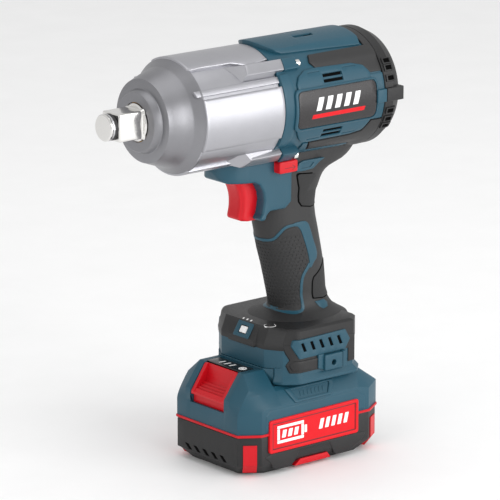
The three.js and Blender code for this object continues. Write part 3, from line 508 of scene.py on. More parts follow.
# ---------------------------------------------------------------- motor housing
def upper_shell():
    body = Solid()
    body.lathe([(5.9, 36.4), (5.9, 39.6), (6.3, 40.0), (94.6, 40.0), (94.9, 39.7), (94.9, 36.4)])
    # Roof plate, whose edges fold down to a skirt, with its two slots.
    edge = 25.6

    def plate_height(u, v):
        skirt = np.interp(u, [17, 88], [29.6, 34.6])
        return 43.0 - 1.9 * np.clip((np.abs(v / ARC) - edge) / (skirt - edge), 0, 1)

    outline = [(6.3, 0, 0), (6.5, 8, 2), (8.4, 15, 2), (11.2, 22, 2), (15.2, 27.4, 2), (19, 29.7, 1),
               (87.2, 34.6, 1), (88.4, 26, 1), (88, 0, 0)]
    creases = [[(u, s * edge * ARC) for u in np.linspace(18.5, 87.0, 24)] for s in (1, -1)]
    slot = ((40.5, 7.4), (57.4, 7.0), (57.4, 12), (40.5, 12.4))
    slots = [dict(points=on_barrel(*((u, s * v) for u, v in slot)), depth=1.3, bevel=0.15) for s in (1, -1)]
    body.drum(outline + mirrored(outline)[len(outline) + 1:-1], plate_height, SHELL, step=3, pockets=slots,
              lines=creases)
    half = Solid()
    # Collar behind the case, screw ears, and the raised pod that carries the badge.
    half.drum([(6.4, 53.4), (13.6, 52.4, 1), (16.4, 62), (16.4, 121), (13.6, 131, 1), (6.4, 129)], 40.9,
              SHELL, radius=1.2, bevel=(0.6, 0.8))
    half.drum([(13.8, 37.6), (25.4, 37.8), (25, 50.2), (11.8, 50.4)], 42.9, SHELL, radius=0.6,
              bevel=(0.6, 0.5))
    half.drum([(11, 134), (25.4, 134), (26, 149.6), (14.8, 150.4)], 45.2, SHELL, radius=0.6, bevel=(0.6, 0.5))
    pod = [(18.8, 66, 3), (22, 58.6, 3), (28.6, 53.2, 3), (36, 52, 3), (70, 53.4, 4), (79.8, 57.4, 4),
           (84.4, 66, 4), (84.4, 114, 4), (79.8, 125, 4), (69.6, 127.8, 4), (32, 128.6, 3), (25.8, 127.4, 3),
           (22.2, 121.8, 3), (18.8, 114, 3)]
    vents = [dict(points=on_barrel((42.4, low), (59.6, low), (59.4, high), (42, high)), depth=0.9, radius=0.4,
                  bevel=0.15) for low, high in ((59.6, 68.6), (115, 124))]
    grooves = [dict(points=on_barrel(*rect(x0, low, x1, high)), depth=0.4, radius=0.2, bevel=0.1) for low,
               high in ((56.4, 57.2), (123.8, 124.6)) for x0, x1 in ((30, 40.6), (61, 73))]
    half.drum(pod, 41.5, SHELL, radius=3, bevel=(0.7, 0.8), pockets=vents + grooves)
    for middle in (64.1, 119.5):
        half.drum(rect(42.3, middle - 0.9, 59.5, middle + 0.9), 41.3, 40.2, radius=0.1, bevel=0.15)
    # Rear shoulder of the side, and the lug that backs the cap screw.
    half.drum(rect(83.6, 67.5, 94.9, 113.5), 41.2, SHELL)
    half.panel(rect(86.6, 248.4, 95, 257.6), side, 43.5, 36, radius=0.8, bevel=0.7)
    # Raised border round the badge.
    window = dict(points=on_barrel((16.7, 72.8), (86.9, 72.7), (87.3, 110.2), (17, 109.8)), depth=0.9,
                  radius=4.8, bevel=0.3)
    half.drum([(14.4, 70.6), (88.6, 70.6), (88.8, 112.6), (14.6, 112.2)], 42.5, 39, step=3, radius=5.6,
              bevel=(1.2, 1.0), pockets=(window,))
    # Wedge under the lower pad.
    half.drum([(30, 131.5), (34.6, 131.5, 0.3), (38.6, 146.8, 0.5), (79, 150, 0.5), (74, 156, 1),
               (36, 153, 1), (30, 149, 1)], 40.9, SHELL, radius=0.8)
    return body.include(half.both())


def painted_slot_shade():
    """Painted shade: near-black plates on the floors between the cooling slats and in the roof's slots."""
    half = Solid()
    for low, high in ((59.9, 62.8), (65.4, 68.3), (115.3, 118.2), (120.8, 123.7)):
        half.drum([(42.8, low), (59.1, low), (59.0, high), (42.6, high)], 40.75, 39.5, radius=0.3, bevel=0.05)
    half.drum([(51, 7.8), (57, 7.6), (57, 11.6), (51, 11.8)], 41.85, 40, radius=0.3, bevel=0.05)
    return half.both()


def screw_heads():
    """Rims of the case screws' heads, which show behind the ears."""
    half = Solid()
    for angle, radius in ((44.0, 40.6), (142.4, 43.6)):
        y, z = -radius * math.sin(math.radians(angle)), AXIS_Z + radius * math.cos(math.radians(angle))
        half.loft([np.array([(x, *spot) for spot in polygon(y, z, size, 15)]) for x,
                   size in ((24, 2.7), (27.2, 2.7), (27.7, 2.3))])
    return half.both()


piece("motor_housing", upper_shell(), TEAL, replaces=("housing_left", "housing_right"), crease=28)
piece("case_screw_heads", screw_heads(), NICKEL)
piece("cooling_slot_shade", painted_slot_shade(), SHADOW)


def upper_pads():
    half = Solid()
    fold = 45.8

    def facet(u, v):
        past = v / ARC - fold
        return 41.6 - 1.3 * np.clip(past / 8.5, 0, 1) - 0.25 * np.clip(-past / 9, 0, 1)

    half.drum([(38.9, 37.2, 0.5), (36.3, 46, 0.5), (40, 53, 0.6), (72, 53.6, 1.5), (80, 57, 1.5),
               (85, 65.8, 1.0), (95.2, 66, 0.3), (95.2, 36.6, 0.3), (88.8, 36.4, 0.5)], facet, 38.8,
              bevel=(0.5, 0.4), lines=[[(u, fold * ARC) for u in np.linspace(37.5, 94.2, 22)]])
    half.both()
    return half.drum(rect(89.2, 38, 95.2, -38), 41.4, 38.8, radius=0.3, bevel=0.4)


piece("upper_rubber_pads", upper_pads(), RUBBER, replaces=("upper_bumper",), crease=24)


def lower_pads():
    def facet(u, v):
        return 41.6 - np.clip((v / ARC - 138) / 8, 0, 1) * np.clip((90 - u) / 10, 0, 1)

    return Solid().drum([(34.6, 130.4, 0.5), (70, 129.4, 2), (80, 127, 2), (85.2, 114.8, 1),
                         (95.2, 114.8, 0.3), (95.2, 180, 0), (62, 180, 0), (66, 158, 1), (79.8, 151, 1),
                         (79.4, 149.4, 0.6), (39.2, 146.2, 0.6)], facet, 38.8, bevel=(0.5, 0.4)).both()


# ---------------------------------------------------------------- handle
def grip_cover():
    turn = np.linspace(0, 360, 96, endpoint=False)
    heights = np.linspace(94, 220, 46)
    body = Solid().loft([handle(turn * HANDLE_ARC, np.full(len(turn), z), 0.0) for z in heights])
    # Web of the thumb, which sweeps from the back of the handle up to the barrel.
    turn = np.radians(np.arange(0, 360, 6))
    web = ((188, 19.0), (194, 22.6), (197.4, 25.4), (199.6, 28.6), (201.5, 33.0), (203.3, 40.4),
           (204.6, 45.6), (206.4, 49.4), (208.6, 52.4), (211.2, 55.0), (222, 55.0))
    return body.loft([level(np.stack([45 + reach * np.cos(turn), 17.2 * np.sin(turn)], 1), z) for z,
                      reach in web])


UPPER_LINE = [(-14, 155.1), (5.1, 155.4), (20.3, 155.5), (31, 156), (39, 157.3), (49.6, 160.6), (59.5, 163.8),
              (68.7, 165.3), (81, 165.8)]
LOWER_LINE = [(94.2, 136.2), (89.6, 133.4), (83.4, 130.5), (77.7, 127), (73.7, 122.1), (71, 116.3),
              (68.6, 110.8), (66.4, 107.1), (61.8, 104.4), (55, 103.2), (46.4, 102.9), (33.7, 103.1),
              (19.7, 103.4), (5.9, 103.8), (-12, 104.3)]


def teal_band():
    """The coloured line that frames the dimpled part of the grip, widening into a flat bar."""
    half = Solid()
    for line in (UPPER_LINE, LOWER_LINE):
        path = smooth([(a * HANDLE_ARC, z) for a, z in line])
        half.panel(strip(path, 1.9), handle, 0.45, -1.5, radius=0.3, bevel=0.25, step=1.5)
    bar = on_handle((76, 166.6, 1), (84, 167.3, 1), (94.5, 167.5, 2), (102.4, 167, 3), (107.6, 164.6, 3),
                    (110, 159.6, 3), (112, 153.3, 3), (115.6, 147, 3), (116.4, 142, 3), (112, 138.6, 3),
                    (104.3, 136.6, 2), (95, 132.6, 0.6), (91.6, 134.4, 0.6), (94.2, 137.4, 2),
                    (94.9, 141.4, 3), (93.8, 148, 3), (91.7, 155, 3), (89.3, 161.2, 2), (85.2, 164.4, 2),
                    (77, 164.8, 1))
    half.panel(bar, handle, 0.5, -1.5, bevel=0.3, step=1.8)
    return half.both()


def smooth(path, per=4):
    """A path redrawn through its points as a smooth curve."""
    p = np.array(path, float)
    ends = np.vstack([2 * p[0] - p[1], p, 2 * p[-1] - p[-2]])
    made = []
    for i in range(1, len(ends) - 2):
        a, b, c, d = ends[i - 1:i + 3]
        for t in np.linspace(0, 1, per, endpoint=False):
            made.append(0.5 * (2 * b + (c - a) * t + (2 * a - 5 * b + 4 * c - d) * t ** 2
                               + (3 * b - a - 3 * c + d) * t ** 3))
    made.append(p[-1])
    return made


def dimpled_panel():
    """Rubber inside the coloured line, right across the handle's front, with rows of small dimples, and
    near-black dots on their floors as painted shade.
    """
    upper = [(a * HANDLE_ARC, z - 1.5) for a, z in UPPER_LINE[1:]]
    rear = on_handle((86.8, 160.6), (89.2, 154.6), (91.2, 147.6), (92.4, 141.2), (91.4, 137.6))
    lower = [(a * HANDLE_ARC - 0.9, z + 0.9) for a, z in LOWER_LINE[2:-1]]
    outline = upper + rear + lower
    outline += [(-u, v) for u, v in outline[::-1]]
    loop = np.array(outline)
    pits, floors = [], Solid()
    for row in range(20):
        for k in range(-14, 15):
            spot = ((k + 0.5 * (row % 2)) * 2.9, 107.6 + 2.6 * row)
            gap = np.sqrt(((loop - spot) ** 2).sum(1)).min()
            if gap > 1.5 and within(np.array([spot]), loop)[0]:
                pits.append(dict(points=polygon(*spot, 0.7, 60), depth=0.9, radius=0, bevel=0.1, taper=0.05))
                # Painted shade: a near-black dot on each dimple's floor.
                floors.panel(polygon(*spot, 0.6, 60), handle, -0.25, -1.2, radius=0, bevel=0.02)
    return Solid().panel(outline, handle, 0.3, -1.5, radius=0.4, bevel=0.3, step=2.0, pockets=pits), floors


def palm_pads(out=0.0, top=0.45):
    """Fine-textured pads on the back of the handle, or, grown outwards and set lower, the painted shade of
    the gap round them.
    """
    half = Solid()
    upper = on_handle((79, 201.4, 1.5), (88.6, 191.7, 1), (91.8, 181.8, 2), (97.3, 178.6, 2),
                      (120.4, 176.4, 2), (140, 176.2, 1), (182, 176.2, 0), (182, 196, 0), (120, 199, 0))
    lower = on_handle((140, 134.5, 1), (122, 130, 1), (100, 125.3, 1.5), (96.2, 122, 1.5), (92, 110.8, 0.6),
                      (115, 109.6, 0.6), (182, 109.4, 0), (182, 136, 0))
    for outline in (upper, lower):
        rim = outline if signed_area(outline) > 0 else outline[::-1]
        grown = [(*spot, *corner[2:]) for spot, corner in zip(inset(rim, -out), rim)]
        half.panel(grown, handle, top, -1.5, bevel=min(0.35, top / 2), step=2.0)
    return half.both()


def handle_accents():
    """Coloured thumb tabs at the top and the foot of the handle."""
    half = Solid()
    half.panel(on_handle((91.7, 108.2, 0.6), (94.2, 104.4, 0.8), (99.8, 102.8, 0.8), (113, 103.4, 0.8),
                         (120, 105.6, 0.6), (115, 108, 0.6)), handle, 0.6, -1.5, bevel=0.3, step=2.0)
    half.panel([(34.2, 203.4, 1), (36.4, 209.2, 1.5), (41, 210.6, 2), (60.6, 210.2, 0.6), (55, 207.6, 1),
                (49.6, 203.8, 1), (42, 203.2, 1)], side, 18.9, 12, bevel=(0.5, 0.5),
               pockets=(dict(points=[(38.4, 205), (46.8, 205.2), (50.8, 208.4), (40, 208.6)], depth=0.5,
                             radius=1.2, bevel=0.2),))
    return half.both()


piece("grip_overmould", grip_cover().include(lower_pads()), RUBBER, replaces=("grip_left", "grip_right"),
      crease=30)
piece("grip_line", teal_band(), TEAL)
dimples, dimple_shade = dimpled_panel()
piece("grip_dimples", dimples, GRIP_RUBBER)
piece("grip_dimple_shade", dimple_shade, SHADOW)
piece("palm_pads", palm_pads(), PAD_RUBBER)
# Painted shade: a near-black band round the palm pads where the gap between them and the grip is shaded.
piece("palm_pad_gap_shade", palm_pads(0.8, 0.1), SHADOW)
piece("handle_accents", handle_accents(), TEAL)


def trigger_housing():
    """Shroud round the trigger, which narrows to a tip under the case."""
    def flank(u, v):
        return np.interp(u, [-27.4, -26.2, -22.8, -16, -8], [3.6, 6.6, 11.2, 15.6, 17.7])

    return Solid().panel([(-27.4, 216, 0.5), (-27.4, 209.8, 2), (-24.6, 203.9, 3), (-20.4, 201.9, 3),
                          (-2, 200.9, 2), (3.2, 198.6, 2), (6.6, 192.6, 4), (7.4, 187, 4), (5.8, 178, 3),
                          (3.4, 174.8, 1), (4.6, 173, 1), (8.2, 173, 1.5), (9.6, 176.4, 2), (12.4, 178.8, 2),
                          (26, 178.8, 2.5), (31.4, 183, 3), (31.8, 206, 1), (31, 222, 1), (-27.4, 222, 0.5)],
                         side, flank, 0.1, bevel=(1.5, 1.9), rings=4, step=2.5).both()


piece("trigger_housing", trigger_housing(), TEAL)


# ---------------------------------------------------------------- controls
def trigger_shape():
    """Side view lofted across the width: a flat finger face with a rounded band on each side of it."""
    half = Solid()
    front_line = np.array(smooth([(-11.2, 200.4), (-8.6, 197.4), (-7.0, 194), (-5.8, 189.6), (-5.5, 185),
                                  (-5.8, 180.3), (-6.8, 176), (-6.6, 174), (-4.4, 172.5), (0.6, 171.8),
                                  (5.8, 172.0)], 3))
    rings = []
    for y, back in ((0.0, 0.0), (3.4, 0.0), (6.0, 0.1), (6.4, 0.35), (6.7, 1.0), (7.4, 1.5), (8.1, 2.1),
                    (8.6, 2.8), (8.9, 3.7), (9.0, 4.6)):
        shifted = front_line.copy()
        shifted[:, 0] = np.minimum(shifted[:, 0] + back, 6.0)
        shifted[:, 1] = np.minimum(np.maximum(shifted[:, 1], 171.8 + 0.16 * back), 200.4)
        ring = np.column_stack([shifted[:, 0], np.full(len(shifted), -y), shifted[:, 1]])
        tail = np.array([(8.4, -y, 174.6), (22.0, -y, 176.0), (22.0, -y, 200.4), (8.0, -y, 200.4)])
        rings.append(np.vstack([ring, tail]))
    half.loft(rings)
    return half.both()


piece("trigger_body", trigger_shape(), RED, body="trigger", replaces=("trigger",), crease=38)


def direction_slider():
    return Solid().panel(rect(15.2, 205.5, 31.4, 213.9), side, 23.9, 0.0, radius=1.6, bevel=(1.0, 0.9),
                         rings=4).both()


def arrow_mark():
    """An arrow drawn as a dark line on the slider's end: painted shade standing in for a sunk arrow."""
    tip = (29.0, 209.0)
    half = Solid().plates([strip([(26.4, 207.2), tip], 0.45), strip([tip, (26.4, 210.8)], 0.45),
                           strip([(19.6, 208.9), (23, 208.95), (28.6, 209)], 0.4)], side, 23.94, 23.4,
                          radius=0, bevel=0.02)
    return half.both()


piece("direction_slider", direction_slider(), RED, body="direction_button", replaces=("direction_button",))
piece("direction_arrow", arrow_mark(), GROOVE_SHADE, body="direction_button")


# ---------------------------------------------------------------- badge
def badge_face():
    return Solid().drum([(17.2, 73.4), (86.4, 73.2), (86.8, 109.6), (17.4, 109.2)], 42.25, 40.6, radius=4.6,
                        bevel=0.25, step=3).both()


def badge_marks():
    """Plain slanted bars in place of lettering."""
    half = Solid()
    for x in 32 + 8.2 * np.arange(5):
        half.drum([(x, 93.4), (x + 4.6, 93.4), (x + 7.4, 81.2), (x + 2.8, 81.2)], 42.33, 42.0, radius=0.3,
                  bevel=0.03, step=2)
    return half.both()


def badge_rule():
    return Solid().drum([(28.6, 100.6), (75.4, 100.6), (76.4, 96.6), (29.6, 96.6)], 42.33, 42.0, radius=0.3,
                        bevel=0.03, step=2).both()


piece("badge_plate", badge_face(), BADGE, replaces=("badge_left", "badge_right"))
piece("badge_bars", badge_marks(), WHITE)
piece("badge_rule", badge_rule(), LABEL_RED)


# ---------------------------------------------------------------- rear cap
CAP_SLOTS = (57.6, 64.6, 74.6, 106.4, 115.4, 123.6)


def rear_cap():
    body = Solid()
    body.lathe([(95.3, 36.5), (95.3, 41.0), (95.7, 41.5), (102.6, 41.5), (103.2, 41.2), (107.2, 39.2),
                (110.4, 37.6), (111, 36.9), (113.4, 33.6), (114.2, 31.4), (115.0, 22), (117.0, 16.5),
                (117.4, 15.8), (117.4, 0.01), (112, 0.01), (112, 30), (103, 36.5)])
    half = Solid()
    half.panel([(95.3, 248.2), (110.4, 248.2, 0.6), (110.4, 257.8, 0.6), (95.3, 257.8)], side, 43.5, 30,
               radius=0.4, bevel=0.8)

    def hood(u, v):
        return 42.5 - 0.3 * np.clip(u - 102.8, 0, 9)

    # Hooded windows that let the cooling air in.
    for angle in CAP_SLOTS:
        window = dict(points=on_barrel(*cap_window(angle)), depth=0.85, radius=0.3, bevel=0.1)
        half.drum(rect(96.6, angle - 3.3, 105.4, angle + 3.3), hood, 36, radius=0.4, bevel=0.4, step=1.5,
                  pockets=(window,))
    return body.include(half.both())


def cap_window(angle):
    return rect(97.8, angle - 2.1, 103.2, angle + 2.1)


def cap_opening_shade():
    """Painted shade: near-black floors in the cooling windows round the cap and in the arcs in its end."""
    dark = Solid()
    for angle in CAP_SLOTS:
        dark.drum(cap_window(angle), 41.68, 36, radius=0.3, bevel=0.05)
    dark.both()
    for middle in (45, 135, 225, 315):
        for r in (19.5, 23.2, 26.9):
            dark.drum(rect(112.0, middle - 26, 114.9, middle + 26), r + 0.9, r - 0.9, radius=0.2, bevel=0.05)
    return dark


piece("rear_cap_shell", rear_cap(), BLACK, replaces=("rear_cap",), crease=24)
piece("rear_cap_opening_shade", cap_opening_shade(), SHADOW)


# ---------------------------------------------------------------- foot
FOOT_FRONT, FOOT_REAR, FOOT_HALF = 1.6, 76.0, 42.0
FOOT_SLOTS = [18.4 + 8.1 * k for k in range(5)]
FRONT_VENTS = [22.2 - 9.5 * k for k in range(5)]  # across the battery's front


def foot_plan(grow=0.0, back=0.0):
    """The foot from above, with its front drawn back: broad front corners and chamfered rear ones."""
    f, r, y = FOOT_FRONT - 0.4 * grow + back, FOOT_REAR + grow, FOOT_HALF + grow
    corner, flank = 8.8 - 0.7 * grow + 0.7 * back, 35 + 0.8 * grow
    return mirrored([(f, -23, 3), (corner, -flank, 1), (18, -y + 0.4, 9), (r - 9, -y, 1.5), (r, -y + 9, 1.5)])


def rail_walls(grow):
    """The foot from above below the battery's rail, open to the front for the battery to slide out."""
    f, r, y = FOOT_FRONT + 3.4 - 0.6 * grow, FOOT_REAR + grow, FOOT_HALF + grow
    return mirrored([(72, -29.4, 0.5), (f, -29.4, 0.5), (f, -30.6, 1),
                     (8.8 - 0.7 * grow, -35 - 0.8 * grow, 1), (18, -y + 0.4, 9), (r - 9, -y, 1.5),
                     (r, -y + 9, 1.5)])


def foot_cover():
    body = Solid()
    body.tower([(foot_plan(0.0), 84.0), (foot_plan(0.15), 84.4), (foot_plan(0.15), 88.4),
                (foot_plan(0.15, 2.8), 94.4), (foot_plan(0.1, 3.8), 97.4), (foot_plan(-1.2, 3.4), 98.6),
                (foot_plan(-2.2, 3.0), 99.0)], step=8)
    half = Solid()

    def skin(out):
        return lambda u, v: out - 0.717 * np.clip(18 - u, 0, 12)

    # Black side panel that starts with a notch on the corner and runs under the hexagonal vent.
    half.panel([(8.8, 88, 0.5), (8.8, 86.4, 0.6), (10.4, 81.6, 0.6), (12.6, 77.2, 0.6), (10.4, 73.4, 0.6),
                (12.6, 68, 0.6), (38, 67.9, 0.6), (38, 78, 0.5), (62, 78.4, 0.5), (62, 68.6, 0.5),
                (68, 68.8, 1), (68, 88, 0.5)], side, skin(42.3), 30, bevel=(0.5, 0.5), step=3)
    half.panel([(13.8, 76.6, 0.4), (11.9, 73.7, 0.5), (13.6, 69.6, 0.5), (36.6, 69.0, 0.5),
                (36.6, 76.6, 0.4)], side, skin(43.0), 30, bevel=(0.7, 0.6), step=3)
    body.include(half.both())
    return body


def foot_base():
    body = Solid()
    body.tower([(foot_plan(-0.3), 70.9), (foot_plan(-0.3), 84.2)], step=8)
    body.tower([(rail_walls(1.4), 60.0), (rail_walls(1.9), 60.6), (rail_walls(1.9), 62.4),
                (rail_walls(-0.3), 65.8), (rail_walls(-0.5), 71.4)], step=8)
    half = Solid()
    slots = [dict(points=[(x, 89.3), (x + 2.6, 89.5), (x + 5.4, 83.0), (x + 2.8, 82.8)], depth=0.6,
                  radius=0.3, bevel=0.1) for x in FOOT_SLOTS]
    half.panel([(14, 91.6), (58.6, 92.7), (63, 85.2), (58.8, 78.6), (17.6, 78.2), (12.8, 87.2)], side,
               lambda u, v: 43.0 - 0.6 * np.clip(18 - u, 0, 8), 30, radius=0.8, bevel=0.35, pockets=slots,
               step=2.5)
    # Boss of the belt hook with its screw hole, and the webs on both sides of it.
    hole = dict(points=polygon(46.4, 71.6, 2.1, 30), depth=5, radius=0)
    half.panel(rect(38.4, 66.8, 54.4, 77.8), side, 45.5, 36, radius=0.9, bevel=0.6, pockets=(hole,))
    half.panel(rect(54.9, 66.8, 58.2, 78), side, 45.0, 36, radius=0.6)
    half.panel([(33.6, 68.8), (38.8, 67.4), (38.8, 78.6), (33.6, 78.8)], side, 43.9, 36, radius=0.6,
               bevel=0.6)
    return body.include(half.both())


def foot_slot_shade():
    """Painted shade: near-black floors in the vent slots and in the belt hook's screw hole."""
    half = Solid()
    half.plates([[(x + 0.1, 89.2), (x + 2.5, 89.4), (x + 5.3, 83.1), (x + 2.9, 82.9)] for x in FOOT_SLOTS],
                side, 42.44, 41, radius=0.2, bevel=0.03)
    half.panel(polygon(46.4, 71.6, 1.9, 30), side, 41.2, 40.2, radius=0, bevel=0.03)
    return half.both()


def lamp_panel():
    return Solid().slices([(0.1, 83.6), (0.1, 88.4), (6.4, 98.3), (7.2, 98.9), (16, 99.15), (16, 83.6)],
                          ((-15.0, 1.6), (-13.6, 0.0), (13.6, 0.0), (15.0, 1.6)), 0.5, 6)


def tilted(u, v, h):
    """The sloped face that carries the work lamp: u across, v up the slope, h out of it."""
    slope = math.radians(57.5)
    x = 0.1 + v * math.cos(slope) - h * math.sin(slope)
    z = 88.4 + v * math.sin(slope) + h * math.cos(slope)
    return np.stack([x, u, z], 1)


def lamp_frame():
    """The coloured frame of the work lamp."""
    window = dict(points=rect(-4.2, 2.4, 4.2, 8.4), depth=0.8, radius=0.8, bevel=0.25)
    body = Solid()
    body.panel(rect(-8.2, -0.2, 8.2, 11.2), tilted, 0.7, -2.5, radius=0.8, bevel=0.4, pockets=(window,))
    return body


piece("foot_cover", foot_cover(), BLACK, crease=26)
piece("foot_base", foot_base(), TEAL, crease=26)
piece("foot_slot_shade", foot_slot_shade(), SHADOW)
piece("lamp_panel", lamp_panel(), BLACK)
piece("lamp_frame", lamp_frame(), TEAL)
lens = Solid().panel(rect(-3.5, 3.0, 3.5, 7.8), tilted, 0.45, -0.3, radius=0.6, bevel=0.25)
piece("lamp_window", lens, WHITE, replaces=("lamp_lens",))


def status_lights():
    """Three slanted strokes for the charge lights beside the mode key."""
    strokes = [[(6.4, y), (9.0, y + 1.6), (8.6, y + 2.6), (6.0, y + 1.0)] for y in (4.4, 0.2, -4.0)]
    return Solid().plates(strokes, plan, 99.26, 98.7, radius=0.3, bevel=0.05)


def mode_ring():
    steps = ((4.2, 98.5), (4.2, 99.15), (4.1, 99.2), (3.8, 99.2), (3.7, 99.15), (3.7, 98.5), (4.2, 98.5))
    return Solid().bridge([level(polygon(9.5, -20.4, r, 10), z) for r, z in steps])


piece("status_lights", status_lights(), WHITE)
piece("mode_key_ring", mode_ring(), WHITE)


# ---------------------------------------------------------------- battery
def battery_plan(grow):
    """The battery from above, with its chamfered corners."""
    f, r, y = -30.0 - grow, 96.0 + grow, 42.8 + grow
    return mirrored([(f, -y + 9.8), (f + 14, -y), (r - 15, -y), (r, -y + 9.8)])


def battery_lower():
    body = Solid()
    body.tower([(battery_plan(-8.0), 0.0), (battery_plan(-7.4), 0.2), (battery_plan(-0.8), 7.6),
                (battery_plan(-0.2), 8.8), (battery_plan(-0.2), 29.0)], radius=2.4, step=8)
    # Raised field of the long side, round the notch.
    half = Solid().panel([(-13.9, 13.6), (-9.4, 10), (-4.8, 3.8), (10, 3.2), (13.8, 7), (17.7, 12.9),
                          (44.8, 12.9), (48, 7), (50.8, 3.2), (62, 3.6), (67, 5.6), (74, 9), (78.6, 14.6),
                          (70, 15.4), (-8, 15.4)], side, 43.0, 36, radius=0.6, bevel=(0.8, 0.6))
    body.include(half.both())
    vents = [dict(points=[(y + 2.2, 12.3), (y - 1.8, 12.3), (y - 6.4, 8.3), (y - 2.4, 8.3)], depth=0.45,
                  radius=0.4, bevel=0.15) for y in FRONT_VENTS]
    return body.panel(rect(32.4, 28.4, -32.4, 7.7), front, 30.3, 27, radius=0.8, bevel=0.25, pockets=vents)


def vent_shade():
    """Painted shade: near-black slanted plates in the vents along the front's lower edge."""
    return Solid().plates([[(y + 2.1, 12.2), (y - 1.7, 12.2), (y - 6.3, 8.4),
                            (y - 2.5, 8.4)] for y in FRONT_VENTS], front, 29.88, 28, radius=0.3, bevel=0.02)


def battery_red():
    """Corner strips, the insert in the side notch and the feet under the front."""
    half = Solid()
    for x0, x1 in ((-30.3, -16.3), (96.3, 81.3)):
        a, b = np.array([x0, -33.2]), np.array([x1, -43.0])
        outward = np.array([9.8 * np.sign(x0), -abs(x1 - x0)])
        outward /= np.linalg.norm(outward)
        p, q = a + (b - a) * 0.24, a + (b - a) * 0.80
        # Each strip is upright above and follows the tray's slope below.
        for low, low_out, high, high_out in ((8.8, 0.0, 23.2, 0.0), (2.6, -4.6, 9.2, 0.1)):
            corners = ((p, low, low_out), (q, low, low_out), (q, high, high_out), (p, high, high_out))
            half.loft([np.array([(*(spot + outward * (out + shift)), z) for spot, z,
                                 shift in corners]) for out in (0.15, -2.5)])
    half.panel([(13.4, 2.2), (46.6, 2.2), (43.6, 6.4), (19.2, 6.4)], side, 42.2, 36, radius=0.4, bevel=0.4)
    return half.both()


def gasket_rim():
    outer, inner = Outline(battery_plan(0.75), 2.4, 6), Outline(battery_plan(-2.0), 2.4, 6)
    inner.counts = outer.counts
    section = ((outer, 0.35, 28.8), (outer, 0.0, 29.2), (outer, 0.0, 30.2), (outer, 0.35, 30.6),
               (inner, 0, 30.6), (inner, 0, 28.8), (outer, 0.35, 28.8))
    return Solid().bridge([level(curve.at(distance), z) for curve, distance, z in section])


LATCH_BAY = 18.3  # half width of the opening that the latch moves in


def battery_upper():
    """Side views at successive widths, joined into the faceted shell, and the rail on top of it."""
    top = [(1.2, 59.4), (80, 59.4), (96, 47.6), (96, 30.4)]
    bay = [(-30, 30.4), (-30, 43.2), (-28, 43.2), (-28, 34.4), (-24.2, 34.4), (-24.2, 47.8), (-14.8, 47.8),
           (-14.8, 69.5), (1.2, 69.5), *top]
    cheek = [(-30, 30.4), (-30, 43.6), (-30, 46), (-30, 49), (-29.8, 52.6), (-26, 57.8), (-21, 64.6),
             (-16.9, 69.9), (1.2, 69.9), *top]
    corner = [(-30, 30.4), (-30, 42.8), (-29.6, 44.4), (-28.8, 46.6), (-27.4, 49.4), (-25.2, 53),
              (-22.4, 57.2), (-20, 60.4), (1.2, 60.4), (1.2, 59.3), (78.6, 59.3), (96, 47.2), (96, 30.4)]
    slope = [(-25.1, 30.4), (-25.1, 44.8), (-24.6, 46), (-23.4, 48), (-21.2, 51), (-17.6, 54.8),
             (-13.4, 57.2), (-10, 57.2), (1.2, 57.2), (1.2, 57.1), (75.4, 57.2), (90.6, 46.8), (90.6, 30.4)]
    wall = [(-16, 30.4), (-16, 46.4), (-15.8, 46.8), (-15.2, 47.3), (-14.2, 47.8), (-12.8, 48.1),
            (-11.2, 48.4), (-9, 48.4), (1.2, 48.4), (1.2, 48.3), (70.6, 48.4), (80.8, 46.2), (80.8, 30.4)]
    stations = ((0.0, bay), (LATCH_BAY, bay), (LATCH_BAY + 0.02, cheek), (23.6, cheek), (33.0, corner),
                (36.6, slope), (42.8, wall))
    half = Solid().loft([across(profile, -y) for y, profile in stations])
    # Raised field of the long side, above the label.
    half.panel([(-13.4, 31.2, 0.6), (-13.0, 43), (-9.4, 46.6), (69, 46.6), (77, 42), (77.6, 31.2, 0.6)], side,
               43.1, 38, bevel=(0.9, 0.5), rings=1)
    body = half.both()
    # The rail, its flanges and its front, which closes the foot's opening.
    for plan_view, low, high in ((rect(1.3, -24.3, 71, 24.3), 55, 64.9), (rect(5.8, -29, 71, 29), 64.8, 70.5),
                                 (mirrored([(0.9, -23.4), (5.2, -29.2), (7, -29.2)]), 56, 70.6)):
        body.tower([(plan_view, low), (plan_view, high)], radius=0.4, step=20)
    return body


def framed_pad():
    """A framed plain pad on the shoulder, where the real case carries embossed words."""
    def shoulder(u, v, h):
        t = (v - 48.4) / 8.8
        return np.stack([u, -(42.8 - 6.2 * t + 0.817 * h), v + 0.576 * h], 1)

    window = dict(points=[(16.4, 49.6), (43.2, 49.6), (48.2, 55.8), (13.2, 55.8)], depth=0.8, radius=0.8)
    half = Solid().panel([(13.2, 48.0), (46, 48.0), (53, 57.2), (8.2, 57.2)], shoulder, 0.9, -3,
                         bevel=(0.5, 0.6), pockets=(window,))
    bars = [[(x, 51.2), (x + 1.7, 51.2), (x + 2.6, 54.2), (x + 0.9, 54.2)] for x in 19.6 + 3.4 * np.arange(7)]
    return half.plates(bars, shoulder, 0.4, -0.5, radius=0.2, bevel=0.1).both()


